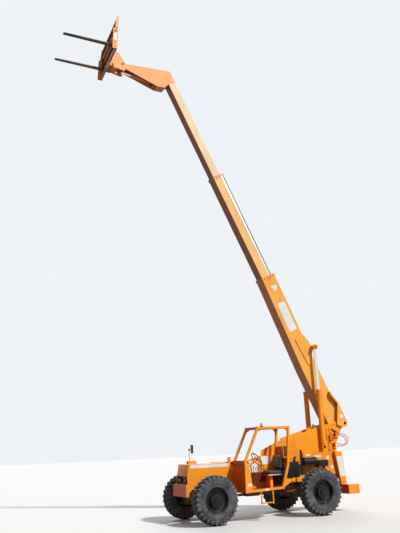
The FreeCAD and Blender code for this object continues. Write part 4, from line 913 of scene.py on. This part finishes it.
# Fittings: a keeper is (radius, sides, nut), a nut (radius, height), a section a list of (radius, along)
MOUTH_PADS = (("boom_base", 5.215, -0.345, 0.115, BOOM_HALF + 0.012),  # body, end, lower and upper side, half
              ("boom_middle", 8.900, -0.340, -0.050, 0.192))
PIVOT_KEEPER_Y, LIFT_KEEPER_Y, LIFT_KEEPER_END = 0.347, 0.441, 0.448
SMALL_NUT, PIN_NUT = (0.008, 0.011), (0.014, 0.014)
LIFT_FOOT, LIFT_EYE, LIFT_Y = (-0.740, 1.860), (-0.750, 4.920), 0.376  # (x, z) of its pins
LIFT_EYE_R, LIFT_EYE_Y = 0.0864, (0.3228, 0.4294)
BARREL_RING = [(0.0790, 0.0), (0.0862, 0.003), (0.0862, 0.027), (0.0790, 0.030)]
BARREL_RINGS, BARREL_PORTS, BARREL_PIPE = (0.10, 1.655), (0.21, 1.58), (0.205, 1.585)  # along the barrel
BARREL_CLIPS = (0.55, 0.90, 1.25)
CLIP_HALF = Vector((0.014, 0.014, 0.012))
TRAY = (4.30, 0.154, -0.046), (8.84, 0.178, -0.018)  # along the boom's middle section
TRAY_BANDS, TRAY_BAND_FROM, TRAY_BAND_STEP = 9, 4.50, 0.52
TOWER_PIPE_R = 0.0095
CANISTER_Y, CANISTER_Z, INTAKE = 0.515, 1.460, (0.165, 0.500)
CANISTER_RING = [(0.1153, 0.0), (0.1195, 0.002), (0.1195, 0.020), (0.1153, 0.022)]
CANISTER_END = [(0.0, 0.0), (0.100, 0.0), (0.103, -0.004), (0.100, -0.010), (0.030, -0.016), (0.0, -0.016)]
INTAKE_COLLAR = [(0.0285, -0.05), (0.0310, -0.05), (0.0310, 0.0), (0.0285, 0.0)]
INTAKE_CAP = [(0.0, 0.022), (0.030, 0.018), (0.052, 0.004), (0.052, 0.0), (0.028, 0.010), (0.0, 0.012)]
TANK_GAUGE = 1.12, 1.36


class TELEHANDLER_OT_boom_fittings(Operator):
    """Adds the slide pads' bolts, pin keepers, the lift cylinders' rings and pipes, rod eyes and hose tray"""
    bl_idname = "telehandler.boom_fittings"
    bl_label = "Boom fittings"

    def execute(self, context):
        for body, end, low, high, half in MOUTH_PADS:
            bm = bmesh.new()
            for side in SIDES:
                for k in range(4):
                    n = low + (high - low) * (k + 0.5) / 4
                    add_nut(bm, on_boom(end - 0.035, n, side * half), (0, side, 0), 0.011, 0.013)
                for back in (0.130, 0.095):
                    for up in (-0.05, 0.05):
                        spot = on_boom(end - back, (low + high) / 2 + up, side * (half - 0.012))
                        add_nut(bm, spot, (0, side, 0), 0.010, 0.012)
            piece("pad_bolts_" + body, bm, body, "orange_dark")

        keepers, eye_keepers, eyes, pipes = (bmesh.new() for _ in range(4))
        foot_x, foot_z = LIFT_FOOT
        eye_x, eye_z = LIFT_EYE
        run = (at(eye_x, 0, eye_z) - at(foot_x, 0, foot_z)).normalized()
        for side in SIDES:
            add_keeper(keepers, at(PIVOT.x, side * PIVOT_KEEPER_Y, PIVOT.z), side, 0.040, 32, SMALL_NUT,
                       circle(3, 0.024, 0.5))
            add_keeper(keepers, at(foot_x, side * LIFT_KEEPER_Y, foot_z), side, 0.036, 28, SMALL_NUT,
                       ((-0.018, 0), (0.018, 0)))
            add_keeper(eye_keepers, at(eye_x, side * LIFT_KEEPER_Y, eye_z), side, 0.046, 28, PIN_NUT,
                       thick=LIFT_KEEPER_END - LIFT_KEEPER_Y)
            add_rod(eyes, *(at(eye_x, side * y, eye_z) for y in LIFT_EYE_Y), LIFT_EYE_R, 44)
            foot = at(foot_x, side * LIFT_Y, foot_z)
            out = Vector((-1, side * 0.8, 0)).normalized()
            for along in BARREL_RINGS:
                add_spun(pipes, BARREL_RING, foot + run * along, run, 40, out)
            for along in BARREL_PORTS:
                start = foot + run * along + out * 0.070
                add_rod(pipes, start, start + out * 0.030, 0.017, 6)
            add_rod(pipes, *(foot + run * along + out * 0.098 for along in BARREL_PIPE), 0.0065, 12)
            for along in BARREL_CLIPS:
                spot = foot + run * along + out * 0.085
                add_block(pipes, spot - CLIP_HALF, spot + CLIP_HALF, 0.003, 1)
        # black keepers at the pivot and the lift foot: painted shade of the pin holes
        piece("pin_keepers", keepers, "chassis", "black")
        piece("lift_pipes", pipes, "lift_cylinder", "orange")
        piece("rod_pin_keepers", eye_keepers, "lift_piston", "orange_dark")
        piece("rod_eyes", eyes, "lift_piston", "orange")

        bm = bmesh.new()
        add_block(bm, *TRAY, 0.004)
        for k in range(TRAY_BANDS):
            s = TRAY_BAND_FROM + TRAY_BAND_STEP * k
            add_block(bm, (s, 0.150, -0.0465), (s + 0.04, 0.1795, -0.0172), 0.001, 1)
        place = Matrix((BOOM_RUN, LEFT, BOOM_UP)).transposed().to_4x4()
        bmesh.ops.transform(bm, matrix=Matrix.Translation(at(*PIVOT)) @ place, verts=bm.verts)
        piece("hose_tray", bm, "boom_middle", "rod_white")
        return {"FINISHED"}


class TELEHANDLER_OT_tower_fittings(Operator):
    """Adds pipes, lines, valve and bolts on the tower, the canister's bands and the boxes' lids"""
    bl_idname = "telehandler.tower_fittings"
    bl_label = "Tower and frame fittings"

    def execute(self, context):
        y, clip_y = TOWER_Y + 0.012, TOWER_Y + 0.022
        bm = bmesh.new()
        for runs in TOWER_PIPES:
            points = [at(x, y, z) for x, z in runs]
            for a, b in zip(points, points[1:]):
                add_rod(bm, a, b, TOWER_PIPE_R, 12)
            for spot in points:
                bmesh.ops.create_icosphere(bm, subdivisions=2, radius=TOWER_PIPE_R + 0.0001,
                                           matrix=Matrix.Translation(spot))
        for x, z in TOWER_CLIPS:
            add_block(bm, at(x - 0.05, TOWER_Y - 0.001, z - 0.016), at(x + 0.05, clip_y, z + 0.016), 0.004, 1)
            add_nut(bm, at(x, clip_y, z), LEFT, 0.007, 0.005)
        piece("tower_pipes", bm, "chassis", "orange")

        bm = bmesh.new()
        for (x, z), (x_end, z_end) in TOWER_LINES:
            add_rod(bm, at(x, y, z), at(x_end, y, z_end), TOWER_PIPE_R, 12)
        # dark rods stand in for painted shadows of pipes on the tower
        piece("tower_lines", bm, "chassis", "maroon")

        bm = bmesh.new()
        (x, z), (x_end, z_end) = TOWER_VALVE
        add_block(bm, at(x, TOWER_Y - 0.001, z), at(x_end, TOWER_Y + 0.070, z_end), 0.006)
        for k in range(3):
            spot = at(x, TOWER_Y + 0.045, z + 0.030 + 0.045 * k)
            add_nut(bm, spot, (-1, 0, 0), 0.015, 0.024)
            add_rod(bm, spot + Vector((0.001, 0, 0)), spot - Vector((0.040, 0, 0)), 0.009, 14)
        for ahead in (0.030, 0.080):
            add_nut(bm, at(x + ahead, TOWER_Y + 0.036, z_end), UP, 0.019, 0.026)
            add_nut(bm, at(x + ahead, TOWER_Y + 0.070, z + 0.075), LEFT, 0.012, 0.010)
        # the valve's darker orange is painted shade
        piece("tower_valve", bm, "chassis", "orange_dark")

        bm = bmesh.new()
        for places, face, radius in ((FRAME_BOLTS, FRONT_Y, 0.014), (LEG_BOLTS, LEG_Y, 0.015),
                                     (TOWER_BOLTS, TOWER_Y, 0.013)):
            for side in SIDES:
                for x, z in places:
                    add_nut(bm, at(x, side * face, z), (0, side, 0), radius, radius + 0.002)
        piece("frame_bolts", bm, "chassis", "orange_dark")

        bm = bmesh.new()
        for x in (-0.29, 0.09):
            add_spun(bm, CANISTER_RING, at(x - 0.011, CANISTER_Y, CANISTER_Z), AHEAD, 44)
            add_block(bm, at(x - 0.018, CANISTER_Y - 0.030, CANISTER_Z + 0.112),
                      at(x + 0.018, CANISTER_Y + 0.030, CANISTER_Z + 0.126), 0.003, 1)
        add_spun(bm, CANISTER_END, at(-0.320, CANISTER_Y, CANISTER_Z), AHEAD, 36)
        add_spun(bm, INTAKE_COLLAR, at(*INTAKE, 1.775), UP, 24)
        add_spun(bm, INTAKE_CAP, at(*INTAKE, 1.786), UP, 28)
        piece("canister_bands", bm, "chassis", "black")

        bm = bmesh.new()
        low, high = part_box("battery_box")
        add_block(bm, (low.x - 0.004, low.y + 0.004, high.z - 0.030), high + Vector((0.004, 0.004, 0.006)),
                  0.004)
        for x in (low.x + 0.09, high.x - 0.09):
            add_block(bm, (x - 0.012, high.y + 0.003, high.z - 0.090),
                      (x + 0.012, high.y + 0.010, high.z + 0.002), 0.003, 1)
        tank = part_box("hydraulic_tank")[1]
        x = tank.x - 0.13
        foot, top = TANK_GAUGE
        add_block(bm, (x - 0.014, tank.y - 0.001, foot), (x + 0.014, tank.y + 0.008, top), 0.004, 1)
        for z in (foot + 0.005, top - 0.005):
            add_nut(bm, (x, tank.y + 0.008, z), LEFT, 0.007, 0.006)
        piece("box_lids", bm, "chassis", "black")
        return {"FINISHED"}


# Lamps: the nose's recess in metres, and sections
NOSE_BACK, RECESS_DEEP, SHADE_SHEET_T = 0.090, 0.060, 0.002
RECESS_HALF, RECESS_LOW, RECESS_HIGH = 0.3595, 1.0455, 1.2445
LAMP_Z, HEAD_LAMP_Y, MARKER_Y = 1.140, 0.200, 0.330
HEAD_RIM = [(0.0525, -0.044), (0.0560, -0.044), (0.0580, 0.004), (0.0500, 0.008), (0.0470, 0.0025),
            (0.0525, 0.0005)]
HEAD_GLASS = [(0.0, 0.0008), (0.0465, 0.0008), (0.0465, 0.003), (0.030, 0.007), (0.0, 0.009)]
MARKER = [(0.0, 0.0), (0.024, 0.0), (0.024, 0.030), (0.016, 0.042), (0.0, 0.046)]
LEG_RIM = [(0.0455, -0.030), (0.0490, -0.030), (0.0500, 0.003), (0.0440, 0.006), (0.0420, 0.001),
           (0.0455, 0.0005)]
LEG_LENS = [(0.0, 0.0006), (0.0415, 0.0006), (0.0415, 0.002), (0.025, 0.008), (0.0, 0.010)]
WORK_RIM = [(0.0353, -0.020), (0.0390, -0.020), (0.0400, 0.004), (0.0340, 0.006), (0.0335, 0.0008),
            (0.0353, 0.0005)]
WORK_LAMPS = ((-0.545, -1), (-0.485, 1))  # x and the way it looks
BEACON_FOOT = [(0.0363, 0.0), (0.0400, 0.001), (0.0385, 0.020), (0.0363, 0.022)]
BEACON_TOP = [(0.0325, 0.086), (0.0358, 0.086), (0.0358, 0.089), (0.0325, 0.089)]
MIRROR_HALF_X, MIRROR_HALF_Z, MIRROR_CORNER, MIRROR_GLASS_T = 0.064, 0.114, 0.02, 0.002
MIRROR_PLACE = (3.290, -0.360, 1.970)


class TELEHANDLER_OT_lamps(Operator):
    """Adds the rims and lenses of the lamps, the painted shade of the nose's recess and the mirror's glass"""
    bl_idname = "telehandler.lamps"
    bl_label = "Lamps"

    def execute(self, context):
        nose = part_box("front_frame")[1].x - NOSE_BACK
        back = nose - RECESS_DEEP
        front, half = nose - 0.001, RECESS_HALF
        # dark sheets that line the nose's recess: painted shade
        bm = bmesh.new()
        add_block(bm, (back + 0.0003, -half, RECESS_LOW), (back + SHADE_SHEET_T, half, RECESS_HIGH))
        for z in (RECESS_LOW, RECESS_HIGH - SHADE_SHEET_T):
            add_block(bm, (back + SHADE_SHEET_T, -half, z), (front, half, z + SHADE_SHEET_T))
        for y in (-half, half - SHADE_SHEET_T):
            add_block(bm, (back + SHADE_SHEET_T, y, RECESS_LOW + 0.0025),
                      (front, y + SHADE_SHEET_T, RECESS_HIGH - 0.0025))
        piece("nose_recess_shade", bm, "chassis", "recess")

        rims, dark, amber = bmesh.new(), bmesh.new(), bmesh.new()
        for side in SIDES:
            spot = Vector((back + 0.045, side * HEAD_LAMP_Y, LAMP_Z))
            add_spun(rims, HEAD_RIM, spot, AHEAD, 36)
            add_spun(dark, HEAD_GLASS, spot, AHEAD, 32)
            add_spun(amber, MARKER, (back + 0.0025, side * MARKER_Y, LAMP_Z), AHEAD, 28)
            spot = at(-0.790, side * 0.425, 1.400)
            add_spun(rims, LEG_RIM, spot, (0, side, 0), 32)
            add_spun(amber, LEG_LENS, spot, (0, side, 0), 28)
        for x, way in WORK_LAMPS:
            add_spun(rims, WORK_RIM, at(x, 0.260, 2.500), (way, 0, 0), 28)
        low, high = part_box("beacon")
        spot = Vector(((low.x + high.x) / 2, (low.y + high.y) / 2, low.z))
        add_spun(rims, BEACON_FOOT, spot, UP, 32)
        for x, y in circle(3, 0.0345, 0.4):
            foot = spot + Vector((x, y, 0.021))
            add_rod(rims, foot, foot + Vector((0, 0, 0.066)), 0.0016, 6)
        add_spun(rims, BEACON_TOP, spot, UP, 32)
        piece("lamp_rims", rims, "chassis", "black")
        piece("head_lamp_glass", dark, "chassis", "smoked")
        piece("marker_lenses", amber, "chassis", "yellow")

        bm = bmesh.new()
        x, z = MIRROR_HALF_X, MIRROR_HALF_Z
        corners = round_corners([(-x, -z), (x, -z), (x, z), (-x, z)], MIRROR_CORNER)
        spot = at(*MIRROR_PLACE) - Vector((0.0005, 0, 0))
        add_plate(bm, corners, MIRROR_GLASS_T, frame_of(spot, (0, -1, 0), UP))
        piece("mirror_glass", bm, "chassis", "mirror")
        return {"FINISHED"}


# Cab
CAB_MIDDLE_Y, SHEET_HALF_Y, SHEET_HALF_T = 0.8385, 0.311, 0.0016
MAT_LOW, MAT_TOP, MAT_RIBS = 0.8145, 0.8205, 18
PEDAL_YS, PEDAL_TURN = (0.745, 0.905), 0.6
LEVERS = ((1.500, -0.010, 0.170), (1.580, 0.0, 0.170), (1.660, 0.010, 0.170),  # x, lean, height
          (1.790, 0.020, 0.150))
LEVER_BOOT = [(0.0, 0.0), (0.026, 0.0), (0.020, 0.014), (0.009, 0.030), (0.0, 0.030)]
GAUGE_RING = [(0.026, 0.0), (0.030, 0.0), (0.029, 0.006), (0.0262, 0.006)]
GAUGE_FACE = [(0.0, 0.0002), (0.0258, 0.0002), (0.0258, 0.002), (0.0, 0.002)]
CAB_FRONT_X = 2.382


def lay_sheet(bm, ends):
    """Stands a sheet that was built along x between two (x, z) ends in the cab."""
    (x, z), (x_end, z_end) = ends
    place = frame_of(at(x, CAB_MIDDLE_Y, z), (x_end - x, 0, z_end - z), (0, -1, 0))
    bmesh.ops.transform(bm, matrix=place, verts=bm.verts)


class TELEHANDLER_OT_cab_fittings(Operator):
    """Adds the gussets, sheets, mat, pedals, levers, gauges, painted shade of the vent slots and step studs of the cab
    """
    bl_idname = "telehandler.cab_fittings"
    bl_label = "Cab fittings"

    def execute(self, context):
        bm = bmesh.new()
        for y in (0.491, CAB_OUT_Y - 0.035):
            for corners in CAB_GUSSETS:
                add_face_plate(bm, corners, y, 1, thickness=0.006)
        piece("cab_gussets", bm, "chassis", "orange")

        bm = bmesh.new()
        height, width, half = math.dist(*CAB_BULKHEAD), SHEET_HALF_Y, SHEET_HALF_T
        add_block(bm, (0, -width, -half), (height, width, half), 0.001, 1)
        for y in (-0.20, 0.0, 0.20):
            add_block(bm, (0.05, y - 0.018, half - 0.0005), (height - 0.05, y + 0.018, half + 0.006), 0.004)
        add_block(bm, (height - 0.012, -width, -0.012), (height, width, 0.012), 0.003)
        for along in (0.06, 0.22, 0.38):
            for side in SIDES:
                add_nut(bm, (along, side * (width - 0.022), half), UP, 0.007, 0.007)
        lay_sheet(bm, CAB_BULKHEAD)
        piece("cab_bulkhead", bm, "chassis", "orange_shaded")

        # a black sheet on the rear panel under the seat: painted shade
        bm = bmesh.new()
        height = math.dist(*CAB_SHADE_SHEET)
        add_block(bm, (0, -0.308, 0.0015), (height, 0.308, 0.0075), 0.003)
        for k in range(-2, 3):
            add_block(bm, (0.02, 0.12 * k - 0.045, 0.006), (height - 0.02, 0.12 * k + 0.045, 0.011), 0.004)
        lay_sheet(bm, CAB_SHADE_SHEET)
        piece("cab_shade_sheet", bm, "chassis", "plastic")

        bm = bmesh.new()
        add_block(bm, at(1.30, 0.545, MAT_LOW), at(2.06, 1.130, MAT_TOP), 0.002, 1)
        for k in range(MAT_RIBS):
            x = 1.33 + k * 0.0415
            if not 1.355 < x < 1.58:
                add_block(bm, at(x, 0.56, MAT_TOP), at(x + 0.012, 1.115, MAT_TOP + 0.0035))
        for y in PEDAL_YS:
            add_rod(bm, at(2.085, y, 0.95), at(1.925, y, 0.905), 0.008, 10)
        piece("floor_mat", bm, "chassis", "orange_dark")

        bm = bmesh.new()
        for y in PEDAL_YS:
            part = bmesh.new()
            add_block(part, (-0.055, -0.040, -0.005), (0.055, 0.040, 0.005), 0.004, 1)
            for k in range(4):
                add_block(part, (-0.042 + k * 0.024, -0.034, 0.004), (-0.032 + k * 0.024, 0.034, 0.008))
            tilt = frame_of(at(1.915, y, 0.915), (math.sin(PEDAL_TURN), 0, math.cos(PEDAL_TURN)), LEFT)
            bmesh.ops.transform(part, matrix=tilt, verts=part.verts)
            join(bm, part)
        for x, lean, height in LEVERS:
            foot = at(x, 0.550, 1.2405)
            knob = foot + Vector((lean, 0.012, height))
            add_spun(bm, LEVER_BOOT, foot, UP, 20)
            add_rod(bm, foot + Vector((0, 0, 0.02)), knob, 0.0055, 10)
            bmesh.ops.create_uvsphere(bm, u_segments=18, v_segments=12, radius=0.019,
                                      matrix=Matrix.Translation(knob))
        piece("levers_and_pedals", bm, "chassis", "plastic")

        panel, faces = bmesh.new(), bmesh.new()
        add_block(panel, (-0.125, -0.062, 0.0005), (0.125, 0.062, 0.006), 0.003, 1)
        for x in (-0.075, 0.0, 0.075):
            add_spun(panel, GAUGE_RING, (x, 0.010, 0.006), UP, 28)
            add_spun(faces, GAUGE_FACE, (x, 0.010, 0.006), UP, 28)
        for k in range(-2, 3):
            add_rod(panel, (0.045 * k, -0.042, 0.006), (0.045 * k, -0.042, 0.016), 0.006, 12)
        place = frame_of(at(2.1795, 0.840, 1.3750), (0, -1, 0), (0.120, 0, 0.090))
        for bm, name, finish in ((panel, "gauge_panel", "black"), (faces, "gauge_faces", "white")):
            bmesh.ops.transform(bm, matrix=place, verts=bm.verts)
            piece(name, bm, "chassis", finish)

        # dark strips on the cab's front: painted shade of the vent slots
        bm = bmesh.new()
        for z in (1.455, 1.480, 1.505):
            add_block(bm, at(CAB_FRONT_X - 0.0005, 0.575, z), at(CAB_FRONT_X + 0.0012, 1.105, z + 0.010))
        piece("front_vent_shade", bm, "chassis", "recess")

        bm = bmesh.new()
        for y in (1.120, 1.148, 1.176):
            for k in range(9):
                x = 1.60 + k * 0.038
                add_rod(bm, at(x, y, 0.479), at(x, y, 0.484), 0.007, 10, 0.004)
        piece("step_studs", bm, "chassis", "zinc")
        return {"FINISHED"}


# Head
HEAD_PIN, CARRIAGE_PIN = (5.400, 0.198, 14.050), (5.740, 0.230, 13.940)
CARRIAGE_BOLT_AHEAD, CARRIAGE_BOLT_UPS = 0.075, (0.08, 0.22)
BACKREST_LOW, BACKREST_HIGH, BACKREST_BEND, BACKREST_TOP_DEEP = 0.757, 1.182, 1.0, 0.064
SLATS, SLAT_FROM, SLAT_STEP, SLAT_HALF = 37, -0.900, 0.050, 0.002


class TELEHANDLER_OT_head_fittings(Operator):
    """Adds the backrest's slats and end bands, carriage bolts and the keepers of the head's pins"""
    bl_idname = "telehandler.head_fittings"
    bl_label = "Head fittings"

    def execute(self, context):
        heads, carriages, bolts, shafts, ends, slats = (bmesh.new() for _ in range(6))
        for side in SIDES:
            for bm, (x, y, z), radius in ((heads, HEAD_PIN, 0.038), (carriages, CARRIAGE_PIN, 0.036)):
                add_keeper(bm, at(x, side * y, z), side, radius, 28, PIN_NUT)
            for up in CARRIAGE_BOLT_UPS:
                spot = on_carriage(CARRIAGE_BOLT_AHEAD, up, side * HEAD_HALF)
                add_nut(bolts, spot, (0, side, 0), 0.015, 0.016)
            add_keeper(shafts, on_carriage(CARRIAGE_BOLT_AHEAD, SHAFT_UP, side * HEAD_HALF), side, 0.044, 32,
                       (0.018, 0.012), thick=0.005)
            low, high = sorted((side * (HEAD_HALF - 0.006), side * (HEAD_HALF + 0.0015)))
            for vert in add_block(ends, (0.002, low, BACKREST_LOW), (0.098, high, BACKREST_HIGH)):
                ahead, y, up = vert.co
                ahead = min(ahead, BACKREST_TOP_DEEP) if up > BACKREST_BEND else ahead
                vert.co = on_carriage(ahead, up, y)
        for k in range(SLATS):
            y = SLAT_FROM + SLAT_STEP * k
            for vert in add_block(slats, (0.006, y - SLAT_HALF, 0.10), (0.034, y + SLAT_HALF, 1.140)):
                vert.co = on_carriage(vert.co.x, vert.co.z, vert.co.y)
        piece("head_pin_keepers", heads, "boom_tip", "black")
        piece("carriage_pin_keepers", carriages, "boom_head", "black")
        piece("carriage_bolts", bolts, "fork_carriage", "orange_dark")
        piece("shaft_keepers", shafts, "fork_carriage", "black")
        piece("backrest_ends", ends, "fork_carriage", "orange_carriage")
        # maroon slats: painted shade of the guard's front
        piece("guard_slats", slats, "fork_carriage", "maroon")
        return {"FINISHED"}


# Stage: floor tones (as lit and as seen), sky colours, and suns by name, direction, energy and angle
FLOOR_R, FLOOR_DROP = 160.0, 0.002
FLOOR_LIT, FLOOR_TONES = (0.22, 0.21, 0.20, 1), ((0.70, 0.69, 0.67, 1), (0.74, 0.73, 0.71, 1))
SKY_SEEN, SKY_LIT, SKY_STRENGTH = (0.86, 0.89, 0.92, 1), (0.92, 0.95, 1.0, 1), 0.22
SUNS = (("key", (-0.42, 1.0, 0.95), 3.6, 4), ("fill", (1.0, 0.4, 0.5), 0.10, 40),
        ("back fill", (-0.35, -1.0, 0.55), 1.5, 50))


def seen_by_eye(tree):
    """1 for rays of the camera and those that a mirror or glass sends on, else 0."""
    path = add(tree, "ShaderNodeLightPath").outputs
    seen = sums(tree, "MAXIMUM", path["Is Camera Ray"], path["Is Glossy Ray"])
    return sums(tree, "MAXIMUM", seen, path["Is Transmission Ray"])


class TELEHANDLER_OT_stage(Operator):
    """Adds the floor, the lights and the camera of the photograph"""
    bl_idname = "telehandler.stage"
    bl_label = "Stage"

    def execute(self, context):
        scene = context.scene
        scene.view_settings.view_transform = "Standard"
        bm = bmesh.new()
        bmesh.ops.create_circle(bm, cap_ends=True, segments=96, radius=FLOOR_R)
        floor = link_mesh("floor", bm)
        floor.location.z = -FLOOR_DROP
        material, tree, shader = start_material("Studio floor")
        tone = mix_colour(tree, noise(tree, coordinates(tree), 0.6), *FLOOR_TONES)
        tone = mix_colour(tree, seen_by_eye(tree), FLOOR_LIT, tone)
        feed(tree, shader, {"Base Color": tone, "Roughness": 0.9})
        floor.data.materials.append(material)
        self.light(scene)
        self.camera(scene)
        return {"FINISHED"}

    def light(self, scene):
        world = bpy.data.worlds.new("Studio")
        world.use_nodes = True
        tree = world.node_tree
        tree.nodes.clear()
        seen = add(tree, "ShaderNodeBackground", {"Color": SKY_SEEN, "Strength": 1.0}).outputs[0]
        lit = add(tree, "ShaderNodeBackground", {"Color": SKY_LIT, "Strength": SKY_STRENGTH}).outputs[0]
        sky = add(tree, "ShaderNodeMixShader", {0: seen_by_eye(tree), 1: lit, 2: seen}).outputs[0]
        add(tree, "ShaderNodeOutputWorld", {"Surface": sky})
        scene.world = world
        for name, direction, energy, angle in SUNS:
            data = bpy.data.lights.new(name, "SUN")
            data.energy, data.angle = energy, math.radians(angle)
            lamp = bpy.data.objects.new(name, data)
            lamp.rotation_mode = "QUATERNION"
            lamp.rotation_quaternion = Vector(direction).to_track_quat("Z", "Y")
            scene.collection.objects.link(lamp)

    def camera(self, scene):
        yaw, pitch, roll = (math.radians(v) for v in (CAMERA_YAW, CAMERA_PITCH, CAMERA_ROLL))
        ahead = Vector((-math.sin(yaw) * math.cos(pitch), -math.cos(yaw) * math.cos(pitch), math.sin(pitch)))
        right = Vector((-math.cos(yaw), math.sin(yaw), 0))
        up = right.cross(ahead)
        x_dir = right * math.cos(roll) + up * math.sin(roll)
        y_dir = up * math.cos(roll) - right * math.sin(roll)
        data = bpy.data.cameras.new("camera")
        data.sensor_fit, data.sensor_width = "AUTO", SENSOR_MM
        data.lens = CAMERA_FOCUS_PX * SENSOR_MM / IMAGE_LONG_PX
        data.clip_start, data.clip_end = 0.1, 400.0
        camera = bpy.data.objects.new("camera", data)
        camera.matrix_world = frame_of(at(*CAMERA_AT), x_dir, y_dir)
        scene.collection.objects.link(camera)
        scene.camera = camera


class TELEHANDLER_OT_finishes(Operator):
    """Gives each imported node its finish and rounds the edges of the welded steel"""
    bl_idname = "telehandler.finishes"
    bl_label = "Finishes"

    def execute(self, context):
        make_finishes()
        slots = {s["node"]: s["material_slot"] for s in frame["record"]["subparts"]}
        for name, node in frame["nodes"].items():
            node.data.materials.clear()
            node.data.materials.append(FINISHES[NODE_FINISH.get(name, SLOT_FINISH[slots[name]])])
            if name in ROUNDED:
                weld = node.modifiers.new("Weld", "WELD")
                weld.merge_threshold = 0.00005
                bevel = node.modifiers.new("Bevel", "BEVEL")
                bevel.width, bevel.segments = ROUNDED[name] * sizes().paint_round, 2
                bevel.limit_method, bevel.angle_limit = "ANGLE", math.radians(50)
                bevel.use_clamp_overlap = True
                bevel.harden_normals = False
        return {"FINISHED"}


class TELEHANDLER_PT_sidebar(Panel):
    """Shows the telehandler's sizes, colours and building steps"""
    bl_label = "Telehandler"
    bl_idname = "TELEHANDLER_PT_sidebar"
    bl_space_type = "VIEW_3D"
    bl_region_type = "UI"
    bl_category = "Telehandler"

    def draw(self, context):
        for group in (context.scene.telehandler_sizes, context.scene.telehandler_colours):
            for name in group.__annotations__:
                self.layout.prop(group, name)
        for operator in OPERATORS:
            self.layout.operator(operator.bl_idname)


OPERATORS = (
    TELEHANDLER_OT_finishes,
    TELEHANDLER_OT_stage,
    TELEHANDLER_OT_tyres,
    TELEHANDLER_OT_wheel_nuts,
    TELEHANDLER_OT_plates,
    TELEHANDLER_OT_seat,
    TELEHANDLER_OT_hoses,
    TELEHANDLER_OT_boom_fittings,
    TELEHANDLER_OT_tower_fittings,
    TELEHANDLER_OT_lamps,
    TELEHANDLER_OT_cab_fittings,
    TELEHANDLER_OT_head_fittings,
)
CLASSES = (TelehandlerColours, TelehandlerSizes, *OPERATORS, TELEHANDLER_PT_sidebar)


def register():
    for cls in CLASSES:
        bpy.utils.register_class(cls)
    bpy.types.Scene.telehandler_colours = PointerProperty(type=TelehandlerColours)
    bpy.types.Scene.telehandler_sizes = PointerProperty(type=TelehandlerSizes)


def unregister():
    del bpy.types.Scene.telehandler_sizes
    del bpy.types.Scene.telehandler_colours
    for cls in reversed(CLASSES):
        bpy.utils.unregister_class(cls)


def call(operator):
    group, name = operator.bl_idname.split(".")
    getattr(getattr(bpy.ops, group), name)()


def main():
    register()
    for operator in OPERATORS:
        call(operator)


if __name__ == "__main__":
    main()
